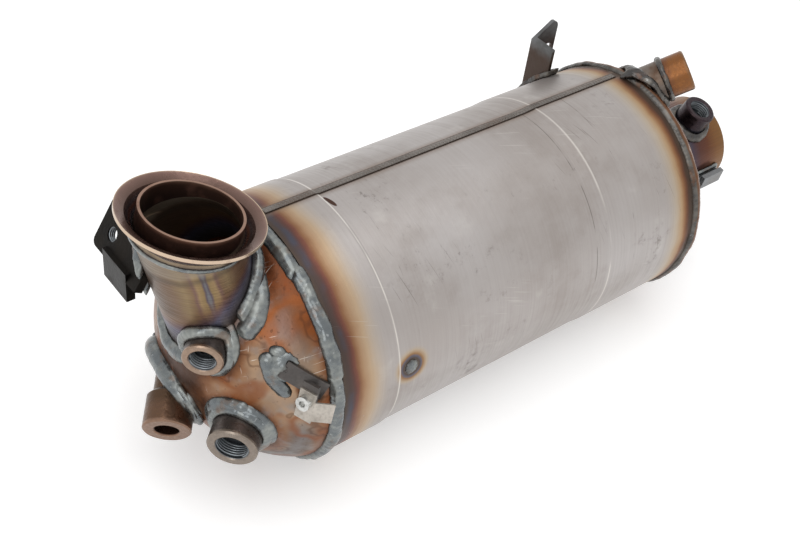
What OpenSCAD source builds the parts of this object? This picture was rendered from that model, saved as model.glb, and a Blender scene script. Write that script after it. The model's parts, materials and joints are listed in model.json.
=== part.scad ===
// Diesel particulate filter: a welded stainless canister with a domed inlet end, a bent inlet
// neck with a clamp flange, sensor bosses, an outlet cap with a straight pipe, and brackets.
// X runs along the canister from inlet to outlet, Z is up, and the origin is the inlet mouth.
// A clock angle turns about the canister axis from +Z towards +Y.

/* [Canister] */
// Outside diameter of the canister tube
can_od = 154; // [140:1:170]
// Length of the canister tube
can_len = 275; // [255:1:320]
// Wall thickness of the canister tube
can_wall = 1.5; // [1:0.1:2.5]
// Radius lost where the tube is sized down over the filter
sizing_drop = 0.7; // [0.3:0.1:1.5]
// Start of the sized length, from the inlet edge
sizing_start = 36; // [28:1:44]
// End of the sized length, from the inlet edge
sizing_end = 200; // [195:1:210]
// Length of the step at the inlet side of the sized length
sizing_step_in = 2.5; // [1:0.5:6]
// Length of the step at the outlet side of the sized length
sizing_step_out = 9; // [3:0.5:14]
// Clock angle of the lengthwise seam weld
seam_clock = 9; // [-20:1:25]
// Width of the seam weld
seam_w = 4.8; // [3:0.1:7]
// Height of the seam weld above the tube
seam_h = 0.5; // [0.2:0.1:1]
// Distance of the plug weld from the inlet edge
plug_x = 45.3; // [42:0.1:60]
// Clock angle of the plug weld
plug_clock = -81; // [-100:1:-40]
// Radius of the plug weld
plug_r = 4.8; // [3:0.1:7]
// Height of the plug weld above the tube
plug_h = 1; // [0.5:0.1:2]

/* [Filter] */
// Thickness of the support mat between the filter and the tube
mat_t = 2.9; // [2:0.1:6]
// Length of the ceramic filter
brick_len = 152.4; // [120:0.1:156]
// Side of one square segment of the filter
segment_w = 36; // [28:1:45]
// Width of the cement joints between segments
joint_w = 1; // [0.5:0.1:2]
// Depth of the cement joints on the end faces
joint_depth = 0.8; // [0.3:0.1:2]
// Length of the support mat round the filter
mat_len = 132; // [100:1:140]
// Length of each mesh seal beside the mat
seal_len = 6; // [3:0.5:8]

/* [Inlet dome] */
// Depth of the inlet dome beyond the canister edge
dome_depth = 58.5; // [54:0.5:66]
// Radius of the dome's knuckle
dome_knuckle = 34; // [28:1:36]
// Wall thickness of the dome and the cap
dome_wall = 1.5; // [1:0.1:2.5]
// Length of the skirts that slide into the canister
skirt_len = 14; // [8:1:20]
// Radial clearance of parts that slide over one another
slip_fit = 0.1; // [0.05:0.05:0.2]
// Bead radius of the ring welds
ring_bead_r = 3.9; // [3:0.1:4.4]

/* [Inlet neck] */
// Distance of the inlet mouth before the canister edge
mouth_back = 46; // [42:0.5:52]
// Height of the inlet mouth above the canister axis
mouth_h = 107.1; // [102:0.1:116]
// Lean of the inlet mouth towards the outlet
mouth_lean = 12; // [8:0.5:16]
// Outside diameter of the neck tube
neck_od = 53.5; // [50:0.5:58]
// Wall thickness of the neck tube
neck_wall = 1.5; // [1:0.1:2]
// Length of the stub tube from the mouth to its mitre with the neck
stub_len = 12; // [11:0.5:15]
// Lean of the neck below the mitre, away from the outlet
neck_lean = 14; // [10:0.5:18]
// Outside diameter of the clamp flange
flange_od = 75.5; // [70:0.5:82]
// Distance of the flange rim below the mouth
flange_drop = 2; // [1:0.5:4]
// Height of the flange from its collar to its rim
flange_h = 10; // [8:0.5:11]
// Height of the flange's collar
flange_collar = 2; // [1:0.5:4]
// Sheet thickness of the flange
flange_wall = 2; // [1.5:0.1:2.5]
// Bead radius of the flange weld
flange_bead_r = 2.8; // [2:0.1:3.4]
// Leg of the weld round the foot of the neck
neck_bead = 6; // [4:0.5:7]

/* [Sensor bosses] */
// Outside diameter of the temperature sensor bosses
temp_od = 22; // [20:0.5:25]
// Major diameter of the temperature sensor threads
temp_thread = 14; // [12:0.5:16]
// Outside diameter of the oxygen sensor boss
oxy_od = 28; // [25:0.5:30]
// Major diameter of the oxygen sensor thread
oxy_thread = 18; // [16:0.5:20]
// Outside diameter of the pressure boss's head
press_od = 27; // [25:0.5:29]
// Outside diameter of the pressure boss's shank
press_shank_od = 21; // [19:0.5:23]
// Bore diameter of the pressure boss
press_bore = 13.5; // [11:0.5:15]
// Length of the pressure boss's head
press_head = 19; // [15:0.5:21]
// Length of the cone between the pressure boss's shank and head
press_cone = 3; // [2:0.5:4]
// Chamfer on the faces of the bosses
boss_chamfer = 0.8; // [0.4:0.1:1.2]
// Diameter of the probe holes through the shells
probe_d = 9; // [6:0.5:10]
// Leg of the welds round the bosses
boss_bead = 4.5; // [3:0.5:5]

/* [Outlet] */
// Depth of the outlet cap beyond the canister edge
cap_depth = 30; // [27:0.5:36]
// Radius of the outlet cap's knuckle
cap_knuckle = 22; // [18:1:24]
// Outside diameter of the outlet pipe
outlet_od = 62; // [56:0.5:66]
// Wall thickness of the outlet pipe
outlet_wall = 1.5; // [1:0.1:2.5]
// Distance of the outlet mouth beyond the canister edge
outlet_reach = 88; // [84:1:110]
// Bead radius of the outlet pipe's weld
outlet_bead_r = 5; // [3:0.5:6]
// Outside diameter of the pressure tap
tap_od = 26.5; // [24:0.5:28]
// Bore diameter of the pressure tap
tap_bore = 14; // [10:0.5:18]
// Length of the threaded sleeve on the pressure tap
tap_sleeve = 16; // [12:0.5:20]
// Length of the pressure tap's tube above the cap
tap_tube = 13; // [12:0.5:18]
// Bead radius of the weld between the tap's tube and sleeve
tap_bead_r = 2.6; // [2:0.1:3.2]

/* [Brackets] */
// Thickness of the inlet bracket
bracket_t = 5; // [4:0.5:6]
// Major diameter of the inlet bracket's thread
bracket_thread = 8; // [6:0.5:10]
// Thickness of the support bracket
support_t = 2.5; // [2:0.1:4]
// Diameter of the hole in the support bracket
support_hole = 9; // [6:0.5:11]
// Leg of the welds along the brackets
bracket_bead = 4; // [3:0.5:5]
// Thickness of the clip tab
tab_t = 2.5; // [2:0.1:3]
// Width of the clip tab
tab_w = 10; // [8:0.5:12]
// Sheet thickness of the line clip
clip_t = 1; // [0.8:0.1:1.5]
// Head diameter of the clip screw
screw_head_d = 8; // [7:0.1:9]
// Shank diameter of the clip screw
screw_d = 4; // [3:0.1:5]

/* [Hidden] */
$fn = 96;
// Facets where a thin bead lies on a large curve
fine_fn = 480;

// Radii that follow from the diameters above
can_r = can_od / 2;
can_mid_r = can_r - sizing_drop;
dome_r = can_r - can_wall - slip_fit;
neck_r = neck_od / 2;
outlet_r = outlet_od / 2;
tap_r = tap_od / 2;
probe_r = probe_d / 2;
// Centre of the inlet mouth, measured from the canister axis at its inlet edge
mouth = [-mouth_back, 0, mouth_h];
// Mitre between the stub and the neck, and the neck's direction above it
mitre = mouth - stub_len * [sin(mouth_lean), 0, cos(mouth_lean)];
mitre_lean = (mouth_lean - neck_lean) / 2;
neck_up = [-sin(neck_lean), 0, cos(neck_lean)];
// Length of the neck below the mitre, which ends inside the dome where it is cut
neck_len = mitre.z;
// Depth to which the mouth is sized round for the pipe that slides into it
mouth_depth = stub_len + neck_r * tan(mouth_lean - mitre_lean);
// Radius to which the mouth is sized round
mouth_r = neck_r - neck_wall + slip_fit;
// Diameter of the ceramic filter inside its mat
brick_d = 2 * (can_mid_r - can_wall - mat_t);
// Centre of the sized length, where the filter sits
brick_x = (sizing_start + sizing_step_in + sizing_end - sizing_step_out) / 2;
// Gap that keeps a swept bead off the faces it lies on
bead_gap = 0.08;
// Share of its leg by which a swept bead bulges
bead_bulge = 0.25;
// Depth to which bosses and brackets run below their seats before they are cut
sink = 30;
// How far a cutter runs past the face it cuts
over = 1;

// Seats on the inlet dome as clock angle and radius, and aims as yaw from -X to -Y and pitch
temp_out = 39.4;
temp_seat = [-29.5, temp_out];
temp_aim = [46, -1];
temp_h = 15;
temp_depth = 9;
press_out = 21;
press_seat = [165, press_out];
press_aim = [51.5, -16.5];
press_h = 27;
oxy_out = 46;
oxy_seat = [-105.5, oxy_out];
oxy_aim = [41.5, -3];
oxy_h = 15;
oxy_depth = 10;
// Seat of the outlet boss along the pipe and round it, its lean to +X, and its height
outlet_boss_back = 24;
outlet_boss_x = outlet_reach - outlet_boss_back;
outlet_boss_clock = -19;
outlet_boss_lean = 6;
outlet_boss_h = 14.5;
// Seat of the pressure tap on the cap's knuckle, and its direction
tap_in = 6.8;
tap_seat = [-0.7, dome_r - tap_in];
tap_dir = [0.715, -0.473, 0.515];

// Centre of the ring weld beads: beyond the canister edge, and as a radius
ring_bead_x = 3.4;
ring_bead_in = 2.4;
ring_bead_q = can_r - ring_bead_in;
// Gap of a swept bead over the ring weld
ring_lift = 1.7;
// Angles round the neck between which its weld runs, either side of the temperature boss
neck_weld_from = -86;
neck_weld_to = 202;
neck_weld_steps = 60;
// Share by which the neck weld narrows at the front, where neck and dome meet at a shallow angle
neck_bead_slim = 0.5;
boss_weld_steps = 48;
// Angle round the mouth over which the flange weld runs
flange_weld_turn = 250;
// Outlet boss seat and direction
outlet_boss_point = round_x(can_len + outlet_boss_x, outlet_r, outlet_boss_clock);
outlet_boss_dir = round_x(sin(outlet_boss_lean), cos(outlet_boss_lean), outlet_boss_clock);
// Clip tab: seat, direction off the dome, turn of the strip, its arc and length, and the mound of its weld
tab_in = 10.3;
tab_seat = [-58.2, dome_r - tab_in];
tab_normal = unit(dome_point(tab_seat) - [crown_r(dome_r, dome_depth, dome_knuckle) - dome_depth, 0, 0]);
tab_turn = 62;
tab_arc_r = 82;
tab_len = 25;
tab_mound_r = 13;
tab_mound_h = 3;
// Clip screw: from the tab's seat to the ear's face, direction of the screw, and the ear round it
clip_reach = [4.85, -15.57, -13.6];
clip_point = dome_point(tab_seat) + clip_reach;
clip_dir = [-0.91, -0.33, 0.24];
ear_w = 9;
ear_up = 10;
// Line clip: extents above, below and beside the screw, and the turn of its leg
clip_up = 6;
clip_down = 12;
clip_w = 5;
clip_fold = 5;
clip_leg = 11;
clip_turn = 38;
// Inlet bracket: bend line in front of the neck, lean, extents across and up, hole and hanging leg
bracket_drop = 28.5;
bracket_off = [-8.144, 0, -0.737];
bracket_fold = neck_point(bracket_drop, 180, neck_r) + bracket_off;
bracket_lean = 30;
bracket_from = 7;
bracket_to = 52;
bracket_up = 30;
bracket_corner = 4;
bracket_hole_y = 40.4;
bracket_hole_up = 12.7;
bracket_leg = 14;
bracket_leg_from = 15.7;
bracket_leg_w = 24.3;
bracket_weld_up = 28;
// Support bracket: fold position, widths, tops, corner and hole
support_back = 23;
support_x = can_len - support_back;
support_in = 7;
support_y = can_r - support_in;
support_w = 20;
support_flange = 20.5;
support_top = can_r;
support_rise = 10;
support_peak = can_r + support_rise;
support_corner = 5;
support_hole_out = 14.5;
support_hole_x = support_x + support_hole_out;
support_hole_in = 11;
support_hole_z = can_r - support_hole_in;
// Outlet stay: clock angle, length, height, thickness, hollow radius and foot
stay_clock = -97;
stay_back = 7;
stay_len = outlet_reach - stay_back;
stay_h = 7.5;
stay_t = 3.5;
stay_hollow = 36;
stay_foot = 20;
stay_foot_w = 10;

// Vector helpers
function unit(v) = v / norm(v);
function backwards(list) = [for (i = [len(list) - 1:-1:0]) list[i]];
function aim(a) = [-cos(a[1]) * cos(a[0]), -cos(a[1]) * sin(a[0]), sin(a[1])];

// Height of a dish above its rim plane at radius q: a crown arc that runs into a knuckle arc
function crown_r(r, depth, knuckle) =
    (depth * depth + pow(r - knuckle, 2) - knuckle * knuckle) / (2 * (depth - knuckle));
function dish_h(q, r, depth, knuckle) =
    let (crown = crown_r(r, depth, knuckle))
    let (turn = (r - knuckle) * crown / (crown - knuckle))
    q < turn ? sqrt(crown * crown - q * q) - crown + depth
             : sqrt(max(0, knuckle * knuckle - pow(q - r + knuckle, 2)));
function dome_x(q) = -dish_h(q, dome_r, dome_depth, dome_knuckle);
function cap_x(q) = can_len + dish_h(q, dome_r, cap_depth, cap_knuckle);
function round_x(x, q, clock) = [x, q * sin(clock), q * cos(clock)];
function dome_point(seat) = round_x(dome_x(seat[1]), seat[1], seat[0]);
function cap_point(seat) = round_x(cap_x(seat[1]), seat[1], seat[0]);

// A point on a tube of radius q round the neck's centre line, t along it below the mitre
function neck_point(t, around, q) = mitre - t * neck_up
    + q * [cos(around) * cos(neck_lean), sin(around), cos(around) * sin(neck_lean)];

// Distance of a point outside the neck's surface
function neck_clear(p) = norm(p - mitre - ((p - mitre) * neck_up) * neck_up) - neck_r;

// Whether a point lies outside the shells at the inlet end, or at the outlet end
function off_dome(p) = let (q = norm([p.y, p.z])) q > dome_r || p.x < dome_x(q);
function off_inlet(p) = off_dome(p) && neck_clear(p) > 0;
function off_outlet(p) =
    let (q = norm([p.y, p.z]))
    let (past_cap = q > dome_r || p.x > cap_x(q))
    let (past_ring = norm([p.x - can_len - ring_bead_x, q - ring_bead_q]) > ring_bead_r + ring_lift)
    past_cap && past_ring && q > outlet_r && (p.x > can_len || q > can_r);
function off_shell(p, inlet) = inlet ? off_inlet(p) : off_outlet(p);

// Height at which a line parallel to a boss leaves the shells, found by halving
function leave(foot, dir, inlet, low, high, n = 22) =
    let (mid = (low + high) / 2)
    n == 0 ? high : off_shell(foot + mid * dir, inlet) ? leave(foot, dir, inlet, low, mid, n - 1)
                                                       : leave(foot, dir, inlet, mid, high, n - 1);
function neck_leave(around, q, low, high, n = 22) =
    let (mid = (low + high) / 2)
    n == 0 ? low : off_dome(neck_point(mid, around, q)) ? neck_leave(around, q, mid, high, n - 1)
                                                        : neck_leave(around, q, low, mid, n - 1);

// Cross-section of a bead from its root, out along the shell, over its crown and up the tube
function bead_section(root, half, toe, top, out) =
    let (lift = bead_bulge * norm(top - toe) * out)
    [root, half, toe, toe + (top - toe) / 3 + lift, toe + (top - toe) * 2 / 3 + lift, top];
function boss_section(seat, dir, r, leg, around, inlet) =
    let (side = unit(cross([0, 0, 1], dir)), rise = cross(dir, side))
    let (out = cos(around) * side + sin(around) * rise)
    let (at = function (q) seat + q * out)
    let (up = function (q) bead_gap + leave(at(q), dir, inlet, -sink, sink))
    let (inner = r + bead_gap, middle = r + leg / 2, outer = r + leg)
    let (root = at(inner) + up(inner) * dir)
    bead_section(root, at(middle) + up(middle) * dir, at(outer) + up(outer) * dir,
        root + leg * dir, unit(out + dir));
function neck_section(leg, around) =
    let (down = function (q) neck_leave(around, q, 0, neck_len) - bead_gap)
    let (wide = leg * (1 - neck_bead_slim * (1 - cos(around)) / 2))
    let (inner = neck_r + bead_gap, middle = neck_r + wide / 2, outer = neck_r + wide)
    let (t = down(inner))
    let (root = neck_point(t, around, inner), top = neck_point(t - leg, around, inner))
    let (toe = neck_point(down(outer), around, outer))
    bead_section(root, neck_point(down(middle), around, middle), toe, top,
        unit(unit(toe - root) + unit(top - root)));

// Skin over a run of cross-sections, closed on itself or capped at both ends
module bead(sections, ring) {
    n = len(sections);
    m = len(sections[0]);
    sides = [for (i = [0:ring ? n - 1 : n - 2], j = [0:m - 1], half = [0, 1])
        let (a = i * m + j, b = i * m + (j + 1) % m)
        let (c = ((i + 1) % n) * m + j, d = ((i + 1) % n) * m + (j + 1) % m)
        half == 0 ? [a, b, d] : [a, d, c]];
    ends = [[for (j = [m - 1:-1:0]) j], [for (j = [0:m - 1]) (n - 1) * m + j]];
    polyhedron([for (s = sections) each s], ring ? sides : concat(sides, ends));
}

module in_frame() {
    translate(-mouth) children();
}

module about_x(turn = 360) {
    rotate([0, 90, 0]) rotate([0, 0, 180 - turn / 2]) rotate_extrude(angle = turn) children();
}

module at_clock(clock) {
    rotate([-clock, 0, 0]) children();
}

module at_mouth() {
    translate(mouth) rotate([0, mouth_lean, 0]) children();
}

module aimed(point, dir) {
    translate(point) rotate([0, acos(dir.z), atan2(dir.y, dir.x)]) children();
}

// Region of a dish in radius and height, with a skirt below its rim plane
module dish(r, depth, knuckle, skirt) {
    crown = crown_r(r, depth, knuckle);
    lean = asin((r - knuckle) / (crown - knuckle));
    far = 2 * crown;
    translate([0, -skirt]) square([r, skirt]);
    intersection() {
        translate([0, depth - crown]) circle(crown);
        polygon([[0, -skirt], [r - knuckle, -skirt], [r - knuckle, 0],
            [r - knuckle + far * sin(lean), far * cos(lean)], [0, far]]);
    }
    intersection() {
        translate([r - knuckle, 0]) circle(knuckle);
        translate([0, -skirt]) square([r, skirt + depth]);
    }
}

module dome_region(shrink = 0, skirt = skirt_len) {
    mirror([0, 1]) dish(dome_r - shrink, dome_depth - shrink, dome_knuckle - shrink, skirt);
}

module cap_region(shrink = 0, skirt = skirt_len) {
    translate([0, can_len]) dish(dome_r - shrink, cap_depth - shrink, cap_knuckle - shrink, skirt);
}

module dome_solid(shrink = 0, skirt = skirt_len) {
    about_x() dome_region(shrink, skirt);
}

module cap_solid(shrink = 0, skirt = skirt_len) {
    about_x() cap_region(shrink, skirt);
}

// Outline of the canister tube along its length
function can_line(grow, start = 0, stop = can_len) = [
    [can_r + grow, start],
    [can_r + grow, sizing_start],
    [can_mid_r + grow, sizing_start + sizing_step_in],
    [can_mid_r + grow, sizing_end - sizing_step_out],
    [can_r + grow, sizing_end],
    [can_r + grow, stop]];

module can_solid(grow = 0) {
    about_x() polygon(concat([[0, 0]], can_line(grow), [[0, can_len]]));
}

// Everything below the mitre plane
module below_mitre() {
    translate(mitre)
        rotate([0, mitre_lean, 0])
        translate([-can_r, -can_r, -2 * can_od])
        cube([can_od, can_od, 2 * can_od]);
}

// The whole ball of which the dome's crown is a part
module crown_ball() {
    crown = crown_r(dome_r, dome_depth, dome_knuckle);
    translate([crown - dome_depth, 0, 0]) sphere(crown, $fn = fine_fn / 2);
}

module neck_solid(r) {
    intersection() {
        translate(mitre)
            rotate([0, -neck_lean, 0])
            translate([0, 0, -neck_len])
            cylinder(r = r, h = neck_len + neck_r);
        below_mitre();
    }
}

// Turned boss with a chamfered face, a bore of its own depth and a probe hole below
module boss(od, bore, height, depth) {
    outer = od / 2;
    inner = bore / 2;
    rotate_extrude() polygon([
        [probe_r, -sink],
        [outer, -sink],
        [outer, height - boss_chamfer],
        [outer - boss_chamfer, height],
        [inner + boss_chamfer, height],
        [inner, height - boss_chamfer],
        [inner, height - depth],
        [probe_r, height - depth]]);
}

module probe_hole(point, dir) {
    aimed(point, dir) translate([0, 0, -sink]) cylinder(r = probe_r, h = 2 * sink);
}

module canister_shell() {
    color("silver") in_frame()
        about_x() polygon(concat(can_line(0), backwards(can_line(-can_wall))));
}

module shell_seam_weld() {
    start = ring_bead_r + slip_fit;
    stop = can_len - start;
    color("slategray") in_frame()
        at_clock(seam_clock)
        about_x(seam_w / can_r * 180 / PI)
        polygon(concat(can_line(seam_h, start, stop), backwards(can_line(0, start, stop))));
}

module plug_weld() {
    ball = (plug_r * plug_r + plug_h * plug_h) / (2 * plug_h);
    color("slategray") in_frame() difference() {
        at_clock(plug_clock) translate([plug_x, 0, can_mid_r + plug_h - ball]) sphere(ball);
        can_solid($fn = fine_fn);
    }
}

module inlet_dome() {
    color("peru") in_frame() difference() {
        dome_solid();
        dome_solid(dome_wall, skirt_len + over);
        neck_solid(neck_r - neck_wall);
        probe_hole(dome_point(temp_seat), aim(temp_aim));
        probe_hole(dome_point(press_seat), aim(press_aim));
        probe_hole(dome_point(oxy_seat), aim(oxy_aim));
    }
}

module ring_bead(x) {
    translate([ring_bead_q, x]) circle(ring_bead_r);
}

module inlet_ring_weld() {
    color("slategray") in_frame() about_x() difference() {
        ring_bead(-ring_bead_x);
        dome_region();
        polygon(concat([[0, 0]], can_line(0), [[0, can_len]]));
    }
}

module stub_solid(r, top) {
    difference() {
        at_mouth() translate([0, 0, -stub_len - neck_r]) cylinder(r = r, h = stub_len + neck_r + top);
        below_mitre();
    }
}

module inlet_stub() {
    color("peru") in_frame() difference() {
        stub_solid(neck_r, 0);
        stub_solid(mouth_r, over);
    }
}

module inlet_neck() {
    color("peru") in_frame() difference() {
        neck_solid(neck_r);
        neck_solid(neck_r - neck_wall);
        at_mouth()
            translate([0, 0, -mouth_depth])
            cylinder(r = mouth_r, h = mouth_depth);
        crown_ball();
        probe_hole(dome_point(temp_seat), aim(temp_aim));
    }
}

module neck_weld() {
    color("slategray") in_frame()
        bead([for (i = [0:neck_weld_steps])
            neck_section(neck_bead, neck_weld_from + (neck_weld_to - neck_weld_from) * i / neck_weld_steps)],
            false);
}

// Section of the clamp flange in radius and height above the mouth
function flange_section() =
    let (inner = neck_r + slip_fit, outer = flange_od / 2, rim = -flange_drop)
    let (neck = rim - flange_h, knee = [(inner + outer) / 2, rim - flange_h / 4])
    let (under = flange_wall * [0.65, -0.8])
    [[inner, neck - flange_collar], [inner, neck], knee, [outer, rim], [outer, rim - flange_wall],
     knee + under, [inner + flange_wall, neck], [inner + flange_wall, neck - flange_collar]];

module inlet_flange() {
    color("rosybrown") in_frame() difference() {
        at_mouth() rotate_extrude() polygon(flange_section());
        neck_solid(neck_r);
    }
}

module flange_weld() {
    foot = -flange_drop - flange_h - flange_collar;
    inner = neck_r + slip_fit;
    color("slategray") in_frame() difference() {
        at_mouth()
            rotate([0, 0, 180 - flange_weld_turn / 2])
            rotate_extrude(angle = flange_weld_turn)
            difference() {
                translate([inner, foot - flange_bead_r / 4]) circle(flange_bead_r);
                translate([0, foot]) square([2 * inner, flange_h]);
                translate([0, foot - flange_h]) square([inner, 2 * flange_h]);
            }
        neck_solid(neck_r);
    }
}

module temperature_boss() {
    color("rosybrown") in_frame() difference() {
        aimed(dome_point(temp_seat), aim(temp_aim)) boss(temp_od, temp_thread, temp_h, temp_depth);
        crown_ball();
        neck_solid(neck_r);
    }
}

module boss_weld(point, dir, od, inlet) {
    color("slategray") in_frame()
        bead([for (i = [1:boss_weld_steps])
            boss_section(point, dir, od / 2, boss_bead, 360 * i / boss_weld_steps, inlet)], true);
}

module temperature_boss_weld() {
    boss_weld(dome_point(temp_seat), aim(temp_aim), temp_od, true);
}

// Outer line of the pressure boss from its foot to its face
function press_line(grow) =
    let (shank = press_shank_od / 2 + grow, head = press_od / 2 + grow, neck = press_h - press_head)
    [[shank, -sink], [shank, neck - press_cone], [head, neck],
     [head, press_h - boss_chamfer], [head - boss_chamfer, press_h]];

module pressure_outer(grow) {
    aimed(dome_point(press_seat), aim(press_aim))
        rotate_extrude() polygon(concat([[0, -sink]], press_line(grow), [[0, press_h]]));
}

module pressure_boss() {
    inner = press_bore / 2;
    neck = press_h - press_head;
    color("rosybrown") in_frame() difference() {
        aimed(dome_point(press_seat), aim(press_aim)) rotate_extrude() polygon(concat(
            [[probe_r, -sink]],
            press_line(0),
            [[inner + boss_chamfer, press_h],
                [inner, press_h - boss_chamfer],
                [inner, neck],
                [probe_r, neck]]));
        dome_solid();
    }
}

module pressure_boss_weld() {
    color("slategray") in_frame() difference() {
        intersection() {
            dome_solid(-boss_bead / 2);
            pressure_outer(boss_bead);
        }
        dome_solid();
        pressure_outer(0);
    }
}

module oxygen_boss() {
    color("rosybrown") in_frame() difference() {
        aimed(dome_point(oxy_seat), aim(oxy_aim)) boss(oxy_od, oxy_thread, oxy_h, oxy_depth);
        dome_solid();
    }
}

module oxygen_boss_weld() {
    boss_weld(dome_point(oxy_seat), aim(oxy_aim), oxy_od, true);
}

// Frame on the dome under the clip tab: x along the strip, z off the dome
module at_tab() {
    aimed(dome_point(tab_seat), tab_normal) rotate([0, 0, tab_turn]) children();
}

module tab_strip(grow) {
    turn = tab_len / tab_arc_r * 180 / PI;
    at_tab() translate([0, 0, bead_gap - tab_arc_r])
        rotate([90, 0, 0])
        rotate([0, 0, 90 - turn])
        rotate_extrude(angle = turn)
        translate([tab_arc_r, -tab_w / 2 - grow])
        square([tab_t + grow, tab_w + 2 * grow]);
}

// Frame of the clip screw: x down, y to the right, z out along the screw
module at_clip() {
    aimed(clip_point, unit(clip_dir)) children();
}

module clip_tab() {
    color("dimgray") in_frame() difference() {
        union() {
            tab_strip(0);
            at_clip() translate([-ear_up, -ear_w / 2, -tab_t]) cube([ear_up + ear_w / 2, ear_w, tab_t]);
        }
        at_clip() translate([0, 0, -sink]) cylinder(d = screw_d, h = 2 * sink);
    }
}

module clip_tab_weld() {
    color("slategray") in_frame() difference() {
        aimed(dome_point(tab_seat), tab_normal)
            translate([0, 0, tab_mound_h - tab_mound_r])
            sphere(tab_mound_r);
        crown_ball();
        tab_strip(bead_gap);
    }
}

module line_clip() {
    color("gainsboro") in_frame() at_clip() difference() {
        union() {
            translate([-clip_up, -clip_w, 0]) cube([clip_up + clip_down, clip_w + clip_fold, clip_t]);
            translate([-clip_up / 4, clip_fold, clip_t]) rotate([-clip_turn, 0, 0])
                translate([0, 0, -clip_t]) cube([clip_down, clip_leg, clip_t]);
        }
        translate([0, 0, -over]) cylinder(d = screw_d + 2 * slip_fit, h = clip_t + 2 * over);
    }
}

module clip_screw() {
    color("whitesmoke") in_frame() at_clip() difference() {
        union() {
            translate([0, 0, clip_t]) cylinder(d = screw_head_d, h = screw_d);
            translate([0, 0, -tab_t - over]) cylinder(d = screw_d - 2 * slip_fit, h = tab_t + clip_t + over);
        }
        translate([0, 0, clip_t + screw_d / 2]) cylinder(d = screw_d, h = screw_d, $fn = 6);
    }
}

// Frame on the inlet bracket's bend line: z up along the plate, x through it
module at_bracket() {
    translate(bracket_fold) rotate([0, bracket_lean, 0]) children();
}

module bracket_plate(grow = 0) {
    at_bracket() translate([-grow, 0, 0]) rotate([90, 0, 90]) linear_extrude(bracket_t + 2 * grow) {
        translate([bracket_from, -grow])
            square([bracket_to - bracket_corner - bracket_from, bracket_up + grow]);
        translate([bracket_from, bracket_corner])
            square([bracket_to - bracket_from, bracket_up - 2 * bracket_corner]);
        for (up = [bracket_corner, bracket_up - bracket_corner])
            translate([bracket_to - bracket_corner, up]) circle(bracket_corner);
    }
}

module inlet_bracket() {
    color("dimgray") in_frame() difference() {
        union() {
            bracket_plate();
            translate(bracket_fold + [0, bracket_leg_from, -bracket_leg])
                cube([bracket_t, bracket_leg_w, bracket_leg + bracket_t]);
        }
        neck_solid(neck_r);
        at_bracket() translate([-over, bracket_hole_y, bracket_hole_up])
            rotate([0, 90, 0]) cylinder(d = bracket_thread, h = bracket_t + 2 * over);
    }
}

module inlet_bracket_weld() {
    color("slategray") in_frame() difference() {
        intersection() {
            neck_solid(neck_r + bracket_bead);
            bracket_plate(bracket_bead);
            at_bracket()
                translate([-sink, bracket_from, -sink])
                cube([2 * sink, neck_od, sink + bracket_weld_up]);
        }
        neck_solid(neck_r);
        bracket_plate();
        translate(bracket_fold + [0, bracket_leg_from, -bracket_leg])
            cube([bracket_t, bracket_leg_w, bracket_leg + bracket_t]);
    }
}

// Folded angle of the support bracket, seen from above
module support_section(grow) {
    translate([support_x - grow, support_y - support_w - grow])
        square([support_t + 2 * grow, support_w + 2 * grow]);
    translate([support_x - grow, support_y - support_t - grow])
        square([support_flange + 2 * grow, support_t + 2 * grow]);
}

module support_bracket() {
    color("gray") in_frame() difference() {
        intersection() {
            linear_extrude(2 * can_r) support_section(0);
            rotate([90, 0, 0]) linear_extrude(2 * can_od, center = true) difference() {
                polygon([[support_x, 0], [support_x, support_top],
                    [support_x + support_flange - support_corner, support_peak],
                    [support_x + support_flange, support_peak], [support_x + support_flange, 0]]);
                translate([support_x + support_flange - support_corner, support_peak - support_corner])
                    difference() {
                        square(2 * support_corner);
                        circle(support_corner);
                    }
            }
        }
        can_solid();
        about_x() ring_bead(can_len + ring_bead_x);
        translate([support_hole_x, 0, support_hole_z])
            rotate([-90, 0, 0])
            cylinder(d = support_hole, h = can_od);
    }
}

module support_bracket_weld() {
    color("slategray") in_frame() difference() {
        intersection() {
            can_solid(bracket_bead);
            linear_extrude(2 * can_r) support_section(bracket_bead);
        }
        can_solid();
        about_x() ring_bead(can_len + ring_bead_x);
        linear_extrude(2 * can_r) support_section(0);
    }
}

module outlet_cap() {
    color("peru") in_frame() difference() {
        cap_solid();
        cap_solid(dome_wall, skirt_len + over);
        translate([can_len, 0, 0]) rotate([0, 90, 0]) cylinder(r = outlet_r - outlet_wall, h = outlet_reach);
        probe_hole(cap_point(tap_seat), unit(tap_dir));
    }
}

module tap_solid(r, height) {
    aimed(cap_point(tap_seat), unit(tap_dir))
        translate([0, 0, -sink / 2])
        cylinder(r = r, h = sink / 2 + height);
}

module outlet_ring_weld() {
    color("slategray") in_frame() difference() {
        about_x() difference() {
            ring_bead(can_len + ring_bead_x);
            cap_region();
            polygon(concat([[0, 0]], can_line(0), [[0, can_len]]));
        }
        tap_solid(tap_r, tap_tube);
    }
}

module outlet_pipe() {
    color("peru") in_frame() difference() {
        translate([can_len, 0, 0]) rotate([0, 90, 0]) difference() {
            cylinder(r = outlet_r, h = outlet_reach);
            translate([0, 0, -over]) cylinder(r = outlet_r - outlet_wall, h = outlet_reach + 2 * over);
        }
        cap_solid();
        probe_hole(outlet_boss_point, outlet_boss_dir);
    }
}

module pipe_bead() {
    translate([outlet_r, cap_x(outlet_r)]) circle(outlet_bead_r);
}

module outlet_pipe_weld() {
    color("slategray") in_frame() about_x() difference() {
        pipe_bead();
        cap_region($fn = fine_fn);
        translate([0, can_len]) square([outlet_r, outlet_reach]);
    }
}

module outlet_boss() {
    color("rosybrown") in_frame() difference() {
        aimed(outlet_boss_point, outlet_boss_dir) boss(temp_od, temp_thread, outlet_boss_h, temp_depth);
        translate([can_len, 0, 0]) rotate([0, 90, 0]) cylinder(r = outlet_r, h = outlet_reach);
    }
}

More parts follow.
